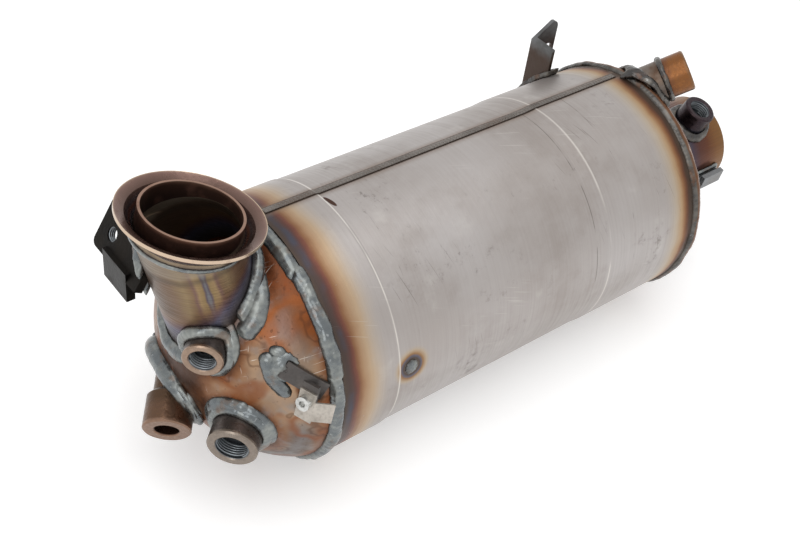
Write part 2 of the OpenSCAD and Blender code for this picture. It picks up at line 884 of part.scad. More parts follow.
module outlet_boss_weld() {
    boss_weld(outlet_boss_point, outlet_boss_dir, temp_od, false);
}

module pressure_tap() {
    color("peru") in_frame() difference() {
        tap_solid(tap_r, tap_tube);
        tap_solid(probe_r, tap_tube + over);
        about_x() translate([dome_r - cap_knuckle, can_len]) circle(cap_knuckle);
    }
}

module pressure_tap_weld() {
    boss_weld(cap_point(tap_seat), unit(tap_dir), tap_od, false);
}

module at_sleeve() {
    aimed(cap_point(tap_seat), unit(tap_dir)) translate([0, 0, tap_tube]) children();
}

module tap_sleeve_end() {
    inner = tap_bore / 2;
    color("peru") in_frame() at_sleeve() rotate_extrude() polygon([
        [inner, 0],
        [tap_r - boss_chamfer, 0],
        [tap_r, boss_chamfer],
        [tap_r, tap_sleeve - boss_chamfer],
        [tap_r - boss_chamfer, tap_sleeve],
        [inner + boss_chamfer, tap_sleeve],
        [inner, tap_sleeve - boss_chamfer]]);
}

module tap_sleeve_weld() {
    color("slategray") in_frame() at_sleeve() rotate_extrude() difference() {
        translate([tap_r, 0]) circle(tap_bead_r);
        translate([0, -tap_tube]) square([tap_r, tap_tube]);
        square([tap_r - boss_chamfer, tap_sleeve]);
        polygon([[tap_r - boss_chamfer, 0], [tap_r, boss_chamfer], [tap_r, tap_sleeve], [0, tap_sleeve]]);
    }
}

// Gusset of the outlet stay with its hollow outer edge and the foot on top of its end
module stay_solid(grow) {
    at_clock(stay_clock) translate([can_len, 0, 0]) {
        rotate([90, 0, 0]) linear_extrude(stay_t + 2 * grow, center = true) difference() {
            translate([0, outlet_r / 2]) square([stay_len + grow, stay_h + outlet_r / 2]);
            translate([stay_len - stay_foot, outlet_r + stay_h + stay_hollow - stay_t / 2])
                circle(stay_hollow);
            translate([0, outlet_r + 2 * stay_h]) square(stay_len);
        }
        translate([stay_len - stay_foot, -stay_foot_w / 2, outlet_r + stay_h - stay_t])
            cube([stay_foot, stay_foot_w, stay_t]);
    }
}

module outlet_stay() {
    color("gray") in_frame() difference() {
        stay_solid(0);
        cap_solid();
        about_x() pipe_bead();
        translate([can_len, 0, 0]) rotate([0, 90, 0]) cylinder(r = outlet_r, h = outlet_reach);
    }
}

module outlet_stay_weld() {
    color("slategray") in_frame() difference() {
        intersection() {
            translate([cap_x(outlet_r) + outlet_bead_r, 0, 0]) rotate([0, 90, 0])
                cylinder(
                    r = outlet_r + bracket_bead / 2,
                    h = stay_len + can_len - cap_x(outlet_r) - outlet_bead_r);
            stay_solid(bracket_bead);
        }
        stay_solid(0);
        translate([can_len, 0, 0]) rotate([0, 90, 0]) cylinder(r = outlet_r, h = outlet_reach);
    }
}

module filter_monolith() {
    count = ceil(brick_d / segment_w / 2);
    color("lightgray") in_frame() difference() {
        translate([brick_x - brick_len / 2, 0, 0]) rotate([0, 90, 0]) cylinder(d = brick_d, h = brick_len);
        for (end = [-1, 1], i = [-count:count], turn = [0, 90])
            translate([brick_x + end * brick_len / 2, 0, 0])
            rotate([turn, 0, 0])
            translate([0, i * segment_w, 0])
                cube([2 * joint_depth, joint_w, brick_d + over], center = true);
    }
}

module sleeve_ring(x, length) {
    translate([x, 0, 0]) rotate([0, 90, 0]) difference() {
        cylinder(r = can_mid_r - can_wall, h = length);
        translate([0, 0, -over]) cylinder(d = brick_d, h = length + 2 * over);
    }
}

module support_mat() {
    color("white") in_frame() sleeve_ring(brick_x - mat_len / 2, mat_len);
}

module mat_seals() {
    color("darkgray") in_frame() {
        sleeve_ring(brick_x - mat_len / 2 - seal_len, seal_len);
        sleeve_ring(brick_x + mat_len / 2, seal_len);
    }
}

canister_shell();
shell_seam_weld();
plug_weld();
inlet_dome();
inlet_ring_weld();
inlet_stub();
inlet_neck();
neck_weld();
inlet_flange();
flange_weld();
temperature_boss();
temperature_boss_weld();
pressure_boss();
pressure_boss_weld();
oxygen_boss();
oxygen_boss_weld();
clip_tab();
clip_tab_weld();
line_clip();
clip_screw();
inlet_bracket();
inlet_bracket_weld();
support_bracket();
support_bracket_weld();
outlet_cap();
outlet_ring_weld();
outlet_pipe();
outlet_pipe_weld();
outlet_boss();
outlet_boss_weld();
pressure_tap();
pressure_tap_weld();
tap_sleeve_end();
tap_sleeve_weld();
outlet_stay();
outlet_stay_weld();
filter_monolith();
support_mat();
mat_seals();
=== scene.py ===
import json
import math

import bmesh
import bpy
import numpy as np
from mathutils import Matrix, Vector
from mathutils.bvhtree import BVHTree


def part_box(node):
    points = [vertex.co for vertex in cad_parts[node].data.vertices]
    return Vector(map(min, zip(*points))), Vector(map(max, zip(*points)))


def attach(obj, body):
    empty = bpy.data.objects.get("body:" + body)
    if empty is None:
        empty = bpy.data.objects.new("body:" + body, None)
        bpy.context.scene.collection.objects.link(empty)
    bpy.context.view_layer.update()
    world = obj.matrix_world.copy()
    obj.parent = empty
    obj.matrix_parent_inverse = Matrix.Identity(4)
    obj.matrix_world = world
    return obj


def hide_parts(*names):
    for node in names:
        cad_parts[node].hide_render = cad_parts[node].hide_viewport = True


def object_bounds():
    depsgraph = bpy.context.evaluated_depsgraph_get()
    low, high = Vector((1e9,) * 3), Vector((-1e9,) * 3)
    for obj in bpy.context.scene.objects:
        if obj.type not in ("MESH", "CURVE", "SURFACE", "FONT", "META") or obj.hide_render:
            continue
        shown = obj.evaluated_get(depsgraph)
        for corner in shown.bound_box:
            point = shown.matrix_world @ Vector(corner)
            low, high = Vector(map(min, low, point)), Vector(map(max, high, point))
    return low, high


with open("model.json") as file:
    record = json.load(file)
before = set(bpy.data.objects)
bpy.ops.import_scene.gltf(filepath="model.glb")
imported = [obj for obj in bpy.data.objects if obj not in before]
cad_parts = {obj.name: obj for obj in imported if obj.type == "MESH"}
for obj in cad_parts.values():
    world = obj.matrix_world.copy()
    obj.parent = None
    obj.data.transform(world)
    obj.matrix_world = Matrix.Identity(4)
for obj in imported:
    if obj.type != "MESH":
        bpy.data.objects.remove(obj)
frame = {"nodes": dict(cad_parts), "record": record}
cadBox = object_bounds()
nodes = frame["nodes"]
mounts = {m["name"]: m for m in frame["record"]["mounts"]}
mm = 0.001
print("frame loaded:", len(nodes), "nodes")


# Places taken from the frame

canLow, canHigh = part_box("canister_shell")
canStart, canEnd = canLow.x, canHigh.x
canZ = (canLow.z + canHigh.z) / 2
canRadius = (canHigh.y - canLow.y) / 2
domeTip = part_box("inlet_dome")[0].x
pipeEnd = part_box("outlet_pipe")[1].x

neckSizes = {
    "mouthLean": math.radians(12),
    "stub": 12 * mm,
    "lean": math.radians(14),
    "seamTurn": math.radians(-109),   # round the neck from +X
    "crownRadius": 81.23 * mm,        # ball that the dome's crown belongs to
}
mouthUp = Vector((math.sin(neckSizes["mouthLean"]), 0, math.cos(neckSizes["mouthLean"])))
neckTop = -neckSizes["stub"] * mouthUp
neckUp = Vector((-math.sin(neckSizes["lean"]), 0, math.cos(neckSizes["lean"])))
neckSide = Vector((math.cos(neckSizes["lean"]), 0, math.sin(neckSizes["lean"])))
crownCentre = Vector((domeTip + neckSizes["crownRadius"], 0, canZ))


def mountLine(name):
    return Vector(mounts[name]["pos_m"]), Vector(mounts[name]["axis"]).normalized()


def onCan(along, clock, radius=canRadius):
    turn = math.radians(clock)
    return Vector((canStart + along, radius * math.sin(turn), canZ + radius * math.cos(turn)))


def onDome(clock, out, sunk):          # clock angle, distance off the axis and depth below the crown
    ball = neckSizes["crownRadius"]
    spot = onCan(crownCentre.x - canStart - math.sqrt(ball * ball - out * out), clock, out)
    return spot + (crownCentre - spot).normalized() * sunk


# Sockets as Python values

class Wire:
    def __init__(self, graph, socket):
        self.graph, self.socket = graph, socket

    def math(self, operation, *others):
        return self.graph.add("ShaderNodeMath", {"operation": operation}, dict(enumerate((self, *others))))

    def __add__(self, other):
        return self.math("ADD", other)

    __radd__ = __add__

    def __sub__(self, other):
        return self.math("SUBTRACT", other)

    def __rsub__(self, other):
        return self.graph.add("ShaderNodeMath", {"operation": "SUBTRACT"}, {0: other, 1: self})

    def __mul__(self, other):
        return self.math("MULTIPLY", other)

    __rmul__ = __mul__

    def __truediv__(self, other):
        return self.math("DIVIDE", other)

    def __rtruediv__(self, other):
        return self.graph.add("ShaderNodeMath", {"operation": "DIVIDE"}, {0: other, 1: self})

    def __neg__(self):
        return 0 - self

    def __abs__(self):
        return self.math("ABSOLUTE")

    def least(self, other):
        return self.math("MINIMUM", other)

    def most(self, other):
        return self.math("MAXIMUM", other)

    def rise(self, low, high):        # 0 below low, 1 above high
        return self.graph.add("ShaderNodeMapRange", {"interpolation_type": "SMOOTHSTEP"},
                              {"Value": self, "From Min": low, "From Max": high})

    def near(self, centre, width):    # 1 at centre, 0 at width away
        return 1 - abs(self - centre).rise(0, width)


class Graph:
    def __init__(self, tree):
        self.tree = tree

    def add(self, kind, settings=None, inputs=None, out=0):
        node = self.tree.nodes.new(kind)
        for key, value in (settings or {}).items():
            if key == "stops":
                fillRamp(node.color_ramp, value)
            else:
                setattr(node, key, value)
        for key, value in (inputs or {}).items():
            self.plug(node.inputs[key], value)
        return Wire(self, node.outputs[out])

    def plug(self, socket, value):
        if isinstance(value, Wire):
            self.tree.links.new(value.socket, socket)
        else:
            socket.default_value = value

    def vector(self, operation, *inputs, out=0):
        return self.add("ShaderNodeVectorMath", {"operation": operation}, dict(enumerate(inputs)), out)

    def dot(self, a, b):
        return self.vector("DOT_PRODUCT", a, b, out="Value")

    def offLine(self, place, point, direction):
        arm = self.vector("SUBTRACT", place, point)
        return self.vector("LENGTH", self.vector("CROSS_PRODUCT", arm, direction), out="Value")

    def offPoint(self, place, point):
        return self.vector("DISTANCE", place, point, out="Value")

    def noise(self, place, scale, detail=3, rough=0.55, stretch=(1, 1, 1), shift=(0, 0, 0)):
        moved = self.add("ShaderNodeMapping", {}, {"Vector": place, "Location": shift, "Scale": stretch})
        return self.add("ShaderNodeTexNoise", {},
                        {"Vector": moved, "Scale": scale, "Detail": detail, "Roughness": rough})

    def mix(self, factor, a, b):
        return self.add("ShaderNodeMix", {"data_type": "RGBA"}, {0: factor, 6: a, 7: b}, 2)

    def ramp(self, value, span, stops):   # stops in the same unit as span
        return self.add("ShaderNodeValToRGB", {"stops": [(at / span, paint(c)) for at, c in stops]},
                        {"Fac": value / span})


def paint(code):
    parts = [int(code[i:i + 2], 16) / 255 for i in (0, 2, 4)]
    return tuple(c / 12.92 if c <= 0.04045 else ((c + 0.055) / 1.055) ** 2.4 for c in parts) + (1,)


def fillRamp(colourRamp, stops):
    while len(colourRamp.elements) < len(stops):
        colourRamp.elements.new(0.5)
    for element, (at, colour) in zip(colourRamp.elements, stops):
        element.position = at
    for element, (at, colour) in zip(colourRamp.elements, stops):
        element.color = colour


class Finish(Graph):
    def __init__(self, name, metallic=0.85, roughness=0.42):
        self.material = bpy.data.materials.new(name)
        self.material.use_nodes = True
        super().__init__(self.material.node_tree)
        self.tree.nodes.clear()
        self.place = self.add("ShaderNodeTexCoord", out="Object")
        parts = self.add("ShaderNodeSeparateXYZ", {}, {0: self.place}).socket.node
        self.x, self.y, self.z = (Wire(self, s) for s in parts.outputs)
        self.shader = self.tree.nodes.new("ShaderNodeBsdfPrincipled")
        output = self.tree.nodes.new("ShaderNodeOutputMaterial")
        self.tree.links.new(self.shader.outputs[0], output.inputs[0])
        self.shader.inputs["Metallic"].default_value = metallic
        self.shader.inputs["Roughness"].default_value = roughness

    def coat(self, colour=None, rough=None, bump=None, depth=0.0002):
        if colour is not None:
            self.plug(self.shader.inputs["Base Color"], colour)
        if rough is not None:
            self.plug(self.shader.inputs["Roughness"], rough)
        if bump is not None:
            normal = self.add("ShaderNodeBump", {}, {"Height": bump, "Strength": 1.0, "Distance": depth})
            self.plug(self.shader.inputs["Normal"], normal)
        return self.material

    def clouds(self, scale, low, high, **more):
        return self.noise(self.place, scale, **more).rise(low, high)

    def scratches(self, across, down, turn, length, width, low):   # thin strokes, sizes in mm
        flat = self.add("ShaderNodeCombineXYZ", {}, {0: across, 1: down})
        turned = self.add("ShaderNodeMapping", {}, {"Vector": flat, "Rotation": (0, 0, math.radians(turn))})
        strokes = self.noise(turned, 1, detail=0, stretch=(1 / length, 1 / width, 1), shift=(turn, 0, 0))
        return strokes.rise(low, low + 0.04)


# Canister

canFinish = {            # mm along the canister from its inlet end
    "heat": 32, "outletHeat": 26,              # reach of the heat bands
    "heatFade": 18, "outletFade": 10,          # where they start to fade
    "heatSway": 9, "outletSway": 8, "plugSway": 5,
    "bluing": (4.5, 3.5),                      # place and width
    "bead": (37.2, 0.9), "band": (200, 1.1),   # formed lines, with a painted highlight along them
    "lines": ((189, 0.45, 1), (52.2, 0.4, 0.7), (221, 0.4, 0.7)),   # scored: place, width, strength
    "seamClock": 9, "seamHalf": 2.7, "seamHeat": (2.5, 7.5),
    "plug": (45.3, -81),                       # place and clock angle
    "plugHeat": 15, "plugFade": (7.5, 13),     # reach of its heat
    "tack": (39.6, 0.9), "tackSize": (1.5, 5.2), "tackSlant": 0.2,
}


def makeCanisterSteel(s):
    f = Finish("canisterSteel", metallic=0.8, roughness=0.4)
    sway = f.noise(f.place, 26, detail=4) - 0.5
    along = (f.x - canStart) / mm
    arc = f.y.math("ARCTAN2", f.z - canZ) * (canRadius / mm)        # round the canister from the top
    warm = f.clouds(9, 0.35, 0.7, detail=5)
    colour = f.mix(warm, paint("a39c98"), paint("b1acaa"))
    streaks = f.noise(f.place, 1, detail=3, stretch=(700, 14, 14)).rise(0.3, 0.75)
    colour = f.mix(streaks * 0.1, colour, paint("8f867f"))
    stain = f.clouds(15, 0.48, 0.68, detail=6, rough=0.65, shift=(0.1, 0.4, 0.2))
    colour = f.mix(stain * 0.45, colour, paint("8f8680"))
    scuff = f.noise(f.place, 1, detail=5, rough=0.75, stretch=(260, 150, 150)).rise(0.56, 0.7)
    scuff = scuff * f.clouds(24, 0.56, 0.7, shift=(0.7, 0.2, 0.1))
    colour = f.mix(scuff * 0.55, colour, paint("57504b"))
    smudge = f.clouds(60, 0.57, 0.72, detail=6, rough=0.7) * f.clouds(16, 0.46, 0.6)
    colour = f.mix(smudge * 0.6, colour, paint("6f6761"))
    paleRub = f.clouds(30, 0.6, 0.75, detail=4, shift=(0.3, 0.1, 0))
    colour = f.mix(paleRub * 0.35, colour, paint("c6c2bd"))

    fromInlet = along + sway * s["heatSway"]
    inletHeat = f.ramp(fromInlet, s["heat"], [
        (0, "4c4139"), (3, "493d39"), (5, "503f3b"), (7, "5b3d37"), (9, "70473b"),
        (11, "856045"), (14, "9f8063"), (18, "ae967b"), (23, "b1a18f"), (32, "afa59b")])
    bluing = fromInlet.near(*s["bluing"]) * f.clouds(30, 0.45, 0.6, shift=(0, 0.6, 0.3))
    inletHeat = f.mix(bluing * 0.8, inletHeat, paint("444754"))
    colour = f.mix(1 - fromInlet.rise(s["heatFade"], s["heat"]), colour, inletHeat)
    toOutlet = (canEnd - f.x) / mm + sway * s["outletSway"]
    outletHeat = f.ramp(toOutlet, s["outletHeat"], [
        (0, "463a31"), (2.5, "4a362b"), (4.5, "68432f"), (7, "8b6444"), (10, "a88c6c"),
        (15, "b0a08b"), (26, "aea59b")])
    colour = f.mix(1 - toOutlet.rise(s["outletFade"], s["outletHeat"]), colour, outletHeat)

    seamOff = abs(arc - math.radians(s["seamClock"]) * canRadius / mm)
    seamHeat = 1 - seamOff.rise(*s["seamHeat"])
    colour = f.mix(seamHeat * 0.55, colour, paint("7d6a5b"))
    edge = 1 - (seamOff - s["seamHalf"]).rise(0, 0.9)
    colour = f.mix(edge * 0.8, colour, paint("493c34"))

    plugAlong, plugClock = s["plug"]
    plugOff = f.offPoint(f.place, onCan(plugAlong * mm, plugClock)) / mm + sway * s["plugSway"]
    plugHeat = f.ramp(plugOff, s["plugHeat"], [
        (0, "8d8a86"), (5, "4d4038"), (6.4, "5c5a66"), (7.6, "8c6a48"), (10, "b09a7c"), (15, "aea59b")])
    colour = f.mix(1 - plugOff.rise(*s["plugFade"]), colour, plugHeat)

    # painted highlight along the formed bead and band, broken up by noise
    beadHighlight = along.near(*s["bead"]) * f.clouds(20, 0.32, 0.55)
    colour = f.mix(beadHighlight * 0.7, colour, paint("ebe6de"))
    bandHighlight = along.near(*s["band"]) * f.clouds(17, 0.35, 0.5, shift=(0, 0.2, 0))
    colour = f.mix(bandHighlight * 0.5, colour, paint("e4dfd8"))
    breaks = (f.clouds(40, 0.45, 0.55), f.clouds(50, 0.52, 0.6), f.clouds(45, 0.5, 0.6))
    for (place, width, strength), gaps in zip(s["lines"], breaks):
        scored = along.near(place, width) * gaps * strength
        colour = f.mix(scored * 0.7, colour, paint("4e4843"))
    (tackAlong, tackArc), (tackWide, tackLong) = s["tack"], s["tackSize"]
    tack = ((along - tackAlong + arc * s["tackSlant"]) / tackWide).math("POWER", 2)
    tack = tack + ((arc - tackArc) / tackLong).math("POWER", 2)
    colour = f.mix(1 - tack.rise(0.7, 1.1), colour, paint("452e24"))
    hairs = f.scratches(along, arc, turn=24, length=34, width=0.8, low=0.75)
    hairs = hairs * f.clouds(22, 0.52, 0.64, shift=(0.4, 0.9, 0))
    colour = f.mix(hairs * 0.25, colour, paint("dcd8d2"))
    marks = f.scratches(along, arc, turn=75, length=30, width=0.9, low=0.75)
    marks = marks * f.clouds(18, 0.5, 0.62, shift=(0.8, 0.1, 0))
    colour = f.mix(marks * 0.4, colour, paint("5d5650"))
    rough = 0.36 + streaks * 0.14 + smudge * 0.1
    return f.coat(colour, rough, streaks * 0.15 + f.noise(f.place, 260) * 0.6, 0.00012)


# Dome: dark brown beside the welds, grey and gold between them, orange high up

domeFinish = {           # mm
    "reach": {"temperature_thread": 15.5, "pressure_bore": 14, "oxygen_thread": 18.5},   # of each boss weld
    "neck": 32.5, "ring": 5, "span": 34, "sway": 11,
    "paleOff": (2, 11),                        # from the welds
    "pale": (-14, 10), "orange": (34, 54), "dark": (56, 68),     # heights above the canister's axis
}


def makeDomeSteel(s):
    f = Finish("domeSteel", metallic=0.75, roughness=0.4)
    sway = f.noise(f.place, 45, detail=4) - 0.5
    near = f.offLine(f.place, neckTop, neckUp) / mm - s["neck"]
    near = near.least((canStart - f.x) / mm - s["ring"])
    for name, reach in s["reach"].items():
        near = near.least(f.offLine(f.place, *mountLine(name)) / mm - reach)
    near = near.most(0) + sway * s["sway"]
    colour = f.ramp(near, s["span"], [
        (0, "452c1d"), (2.5, "5f3c25"), (5, "754b2f"), (8, "7a5a43"), (11, "6b6058"),
        (15, "716d6b"), (20, "786b60"), (26, "7e644e"), (34, "745942")])
    rust = f.clouds(38, 0.47, 0.68, detail=5, rough=0.65)
    height = (f.z - canZ) / mm
    high = height.rise(*s["orange"])
    pale = (0.5 + f.clouds(44, 0.42, 0.62, shift=(0.6, 0.1, 0.5)) * 0.45) * near.rise(*s["paleOff"])
    pale = pale * (1 - high) * height.rise(*s["pale"])
    colour = f.mix(pale, colour, paint("a38569"))
    colour = f.mix(high * 0.6, colour, paint("6d3c1e"))
    colour = f.mix(height.rise(*s["dark"]) * 0.55, colour, paint("552a12"))
    colour = f.mix(rust * (0.1 + high * 0.6), colour, paint("854117"))
    deep = f.clouds(95, 0.6, 0.74, detail=5) * high
    colour = f.mix(deep * 0.8, colour, paint("3f1c0c"))
    grey = f.clouds(52, 0.56, 0.7, shift=(0.2, 0, 0.4))
    colour = f.mix(grey * 0.55, colour, paint("817e7c"))
    rim = f.noise(f.place, 20, detail=3, shift=(0.9, 0.3, 0.2)).near(0.5, 0.06)
    colour = f.mix(rim * 0.7, colour, paint("7a4119"))
    vein = f.noise(f.place, 34, detail=3, shift=(0.4, 0.6, 0.2)).near(0.52, 0.03)
    colour = f.mix(vein * 0.5, colour, paint("4a2a18"))
    scale = f.clouds(420, 0.62, 0.72)
    colour = f.mix(scale * 0.35, colour, paint("4a342a"))
    across, down = f.y / mm, f.z / mm
    hairs = f.scratches(across, down, turn=35, length=14, width=0.6, low=0.735)
    hairs = hairs.most(f.scratches(across, down, turn=-64, length=12, width=0.6, low=0.74))
    hairs = hairs * f.clouds(42, 0.56, 0.62, shift=(0.2, 0.5, 0.8))
    colour = f.mix(hairs * 0.7, colour, paint("e8e2d8"))
    rough = 0.34 + rust * 0.2 + scale * 0.1
    return f.coat(colour, rough, f.noise(f.place, 300) + scale * 0.4, 0.00015)


# Neck: gold with purple and blue bands along its seam and above its weld

neckFinish = {           # mm
    "seamSpan": 24, "seamSway": 3, "front": (-4, 6),
    "weldSpan": 40, "weldSway": 7, "weldFade": (13, 24),
    "topBand": (-9, 4), "topEdge": (-8, -4), "topSway": 4,
}


def makeNeckSteel(s):
    f = Finish("neckSteel", metallic=0.8, roughness=0.34)
    sway = f.noise(f.place, 60, detail=3) - 0.5
    turn = neckSizes["seamTurn"]
    tangent = -math.sin(turn) * neckSide + Vector((0, math.cos(turn), 0))
    arm = f.vector("SUBTRACT", f.place, neckTop)
    across = abs(f.dot(arm, tangent)) / mm
    colour = f.ramp(across + sway * s["seamSway"], s["seamSpan"], [
        (0, "6c6c70"), (0.9, "574d57"), (1.9, "89734f"), (4.4, "957d5a"), (6.2, "735750"),
        (7.8, "7d654b"), (11, "887455"), (16, "735c48"), (24, "594739")])
    outward = math.cos(turn) * neckSide + Vector((0, math.sin(turn), 0))
    front = (f.dot(arm, outward) / mm).rise(*s["front"])
    colour = f.mix(front, paint("624d3e"), colour)
    overWeld = (f.offPoint(f.place, crownCentre) - neckSizes["crownRadius"]) / mm + sway * s["weldSway"]
    lowBand = f.ramp(overWeld, s["weldSpan"], [
        (0, "42382f"), (6, "4d4c56"), (10, "525268"), (13, "5a464f"), (17, "71533e"),
        (24, "82694a"), (40, "82694a")])
    colour = f.mix((1 - overWeld.rise(*s["weldFade"])) * 0.9, colour, lowBand)
    top = f.dot(arm, neckUp) / mm + sway * s["topSway"]
    colour = f.mix(top.near(*s["topBand"]) * 0.55, colour, paint("4f463c"))
    colour = f.mix(top.rise(*s["topEdge"]) * 0.6, colour, paint("8f8474"))
    brush = f.noise(f.place, 1, detail=2, stretch=(60, 60, 900)).rise(0.3, 0.7)
    colour = f.mix(brush * 0.2, colour, paint("57463a"))
    return f.coat(colour, 0.3 + brush * 0.14, brush, 0.00008)


# Flange and mouth

flangeFinish = {         # mm
    "span": 18, "top": (3, 9), "mouthSpan": 20,          # below the mouth
    "dish": (33.5, 36.5), "dishSpan": 40, "edge": (37.2, 37.6),      # out from the mouth's axis; the edge carries a painted highlight
}


def makeFlangeSteel(s):
    f = Finish("flangeSteel", metallic=0.8, roughness=0.34)
    sway = f.noise(f.place, 70, detail=4) - 0.5
    below = -f.dot(f.place, mouthUp) / mm + sway * 2.4
    colour = f.ramp(below, s["span"], [
        (0, "a88a7a"), (2.5, "927267"), (5, "6f534c"), (7, "60565a"), (8.6, "7e4f3f"),
        (10.5, "66636a"), (12.2, "857560"), (14, "5a5048"), (18, "5a5048")])
    out = f.offLine(f.place, Vector((0, 0, 0)), mouthUp) / mm
    inside = 1 - out.rise(*s["dish"])
    top = 1 - below.rise(*s["top"])
    # the dish is near black inside the bore, which is painted shade, and lighter at the outer lip, which is
    # painted highlight
    dish = f.ramp(out + sway * 3, s["dishSpan"], [
        (0, "241a16"), (27, "281d19"), (30, "413029"), (34, "644f47"), (36.4, "765d55"), (40, "a68d7e")])
    colour = f.mix(inside.most(top) * top, colour, dish)
    # bright outer edge: painted highlight on the rim, partly rim wear
    edge = out.rise(*s["edge"])
    colour = f.mix(edge * 0.9, colour, paint("c9b39c"))
    fleck = f.clouds(190, 0.55, 0.7, detail=5)
    colour = f.mix(fleck * 0.25, colour, paint("5d463d"))
    return f.coat(colour, 0.25 + fleck * 0.15 - edge * 0.06, f.noise(f.place, 400), 0.0001)


def makeMouthSteel(s):
    f = Finish("mouthSteel", metallic=0.7, roughness=0.38)
    sway = f.noise(f.place, 80, detail=4) - 0.5
    below = -f.dot(f.place, mouthUp) / mm + sway * 2
    # darker deeper into the mouth: painted shade inside the bore
    colour = f.ramp(below.most(0), s["mouthSpan"], [
        (0, "937463"), (0.8, "6d5042"), (2.2, "4a342c"), (8, "3a2a24"), (20, "261d1a")])
    fleck = f.clouds(120, 0.5, 0.7, detail=5)
    colour = f.mix(fleck * 0.4, colour, paint("6a473a"))
    return f.coat(colour, 0.32 + fleck * 0.2, f.noise(f.place, 300), 0.0001)


# Turned bosses: bright faces, darker sides

bossFinish = {"span": 24, "sway": 2.5, "boreEdge": 0.5}         # mm
bossTints = {            # mount, then the tints of face, side and root
    "temperature_boss": ("temperature_thread", "96806f", "5b5350", "4a474d"),
    "pressure_boss": ("pressure_bore", "866a58", "644b3a", "523e2e"),
    "oxygen_boss": ("oxygen_thread", "857a70", "58504c", "464245"),
    "outlet_boss": ("outlet_thread", "33282d", "2e2429", "343c4b"),
    "tap_sleeve_end": ("tap_bore", "7c583a", "835530", "6b452f"),
}


def makeBossSteel(s, node, mount, face, side, root):
    f = Finish(node + "Steel", metallic=0.85, roughness=0.3)
    point, axis = mountLine(mount)
    sway = f.noise(f.place, 120, detail=4) - 0.5
    depth = -f.dot(f.vector("SUBTRACT", f.place, point), axis) / mm + sway * s["sway"]
    colour = f.ramp(depth.most(0) + 1, s["span"], [
        (0, face), (1.7, face), (2.6, side), (10, side), (15, root), (24, root)])
    boreRadius = mounts[mount]["dims"]["r_mm"]
    bore = 1 - (f.offLine(f.place, point, axis) / mm).rise(boreRadius, boreRadius + s["boreEdge"])
    colour = f.mix(bore, colour, paint("5f6468" if "thread" in mount else "4c342a"))
    lathe = f.noise(f.place, 500, detail=2).rise(0.3, 0.7)
    colour = f.mix(lathe * 0.18, colour, paint("4d403b"))
    return f.coat(colour, 0.26 + lathe * 0.14, lathe, 0.00005)


# Outlet end

outletFinish = {"capSpan": 36, "capSway": 6, "pipeSpan": 62, "pipeSway": 8}         # mm


def makeCapSteel(s):
    f = Finish("capSteel", metallic=0.75, roughness=0.4)
    sway = f.noise(f.place, 55, detail=4) - 0.5
    near = (f.x - canEnd) / mm + sway * s["capSway"]
    colour = f.ramp(near.most(0), s["capSpan"], [
        (0, "4d433b"), (6, "6d4a34"), (12, "8c5c3a"), (18, "7a5a45"), (26, "77706b"), (36, "6a5a4e")])
    rust = f.clouds(60, 0.5, 0.68, detail=5)
    colour = f.mix(rust * 0.5, colour, paint("96582c"))
    return f.coat(colour, 0.34 + rust * 0.16, f.noise(f.place, 320), 0.00012)


def makePipeSteel(s):
    f = Finish("pipeSteel", metallic=0.8, roughness=0.32)
    sway = f.noise(f.place, 60, detail=3) - 0.5
    toEnd = (pipeEnd - f.x) / mm + sway * s["pipeSway"]
    colour = f.ramp(toEnd.most(0), s["pipeSpan"], [
        (0, "7d5a35"), (8, "76502e"), (16, "5f3724"), (24, "53322a"), (32, "453c48"),
        (42, "58575b"), (52, "4f423a"), (62, "3d2f24")])
    brush = f.noise(f.place, 1, detail=2, stretch=(40, 700, 700)).rise(0.3, 0.7)
    colour = f.mix(brush * 0.15, colour, paint("4a3a32"))
    return f.coat(colour, 0.28 + brush * 0.14, brush, 0.00008)


def makeTapSteel():
    f = Finish("tapSteel", metallic=0.8, roughness=0.34)
    sway = f.noise(f.place, 90, detail=4)
    colour = f.ramp(sway, 1, [(0.3, "4e3728"), (0.45, "67594e"), (0.6, "726962"), (0.75, "5a3b28")])
    return f.coat(colour, 0.36, f.noise(f.place, 350), 0.0001)


# Plates, clip and screw

def makePlateSteel(name, plain, stain, amount, rough, metallic=0.6):
    f = Finish(name, metallic=metallic, roughness=rough)
    cloud = f.clouds(70, 0.42, 0.66, detail=5)
    colour = f.mix(cloud * amount, paint(plain), paint(stain))
    grain = f.clouds(600, 0.4, 0.7)
    colour = f.mix(grain * 0.2, colour, paint("2a2522"))
    return f.coat(colour, rough + cloud * 0.12, f.noise(f.place, 450), 0.00012)


supportFinish = {"rust": (-10, 2), "sway": 16}        # mm above the canister's top


def makeSupportSteel(s):
    f = Finish("supportSteel", metallic=0.65, roughness=0.42)
    sway = f.noise(f.place, 70, detail=4) - 0.5
    low = 1 - ((f.z - canZ - canRadius) / mm + sway * s["sway"]).rise(*s["rust"])
    colour = f.mix(f.clouds(50, 0.4, 0.65), paint("515150"), paint("68696a"))
    colour = f.mix(low * 0.9, colour, paint("3d2a1d"))
    return f.coat(colour, 0.4, f.noise(f.place, 420), 0.00012)


# Inside: block, mat and wire seals

blockFinish = {"cell": 1.47, "wall": 0.36}            # mm


def makeCeramic(s):
    f = Finish("filterCeramic", metallic=0.0, roughness=0.85)
    wall = s["wall"] / s["cell"]
    rows, columns = ((axis / mm / s["cell"]).math("PINGPONG", 0.5).rise(wall / 2, wall)
                     for axis in (f.y, f.z))
    return f.coat(f.mix(rows * columns * 0.8, paint("a39f97"), paint("3c3a38")))


def makePlain(name, colour, rough, metallic=0.0):
    f = Finish(name, metallic=metallic, roughness=rough)
    cloud = f.clouds(200, 0.35, 0.7)
    return f.coat(f.mix(cloud * 0.4, paint(colour), paint("5c5852")))


# Weld metal: the ripple, pit and toe attributes come with each bead

brownFinish = {"start": 2, "blend": 1.5}              # mm past the canister's outlet end
seamFinish = {"bow": 0.28, "ripples": 2.6, "sway": 3, "edge": (1.6, 2.3)}           # edge in mm


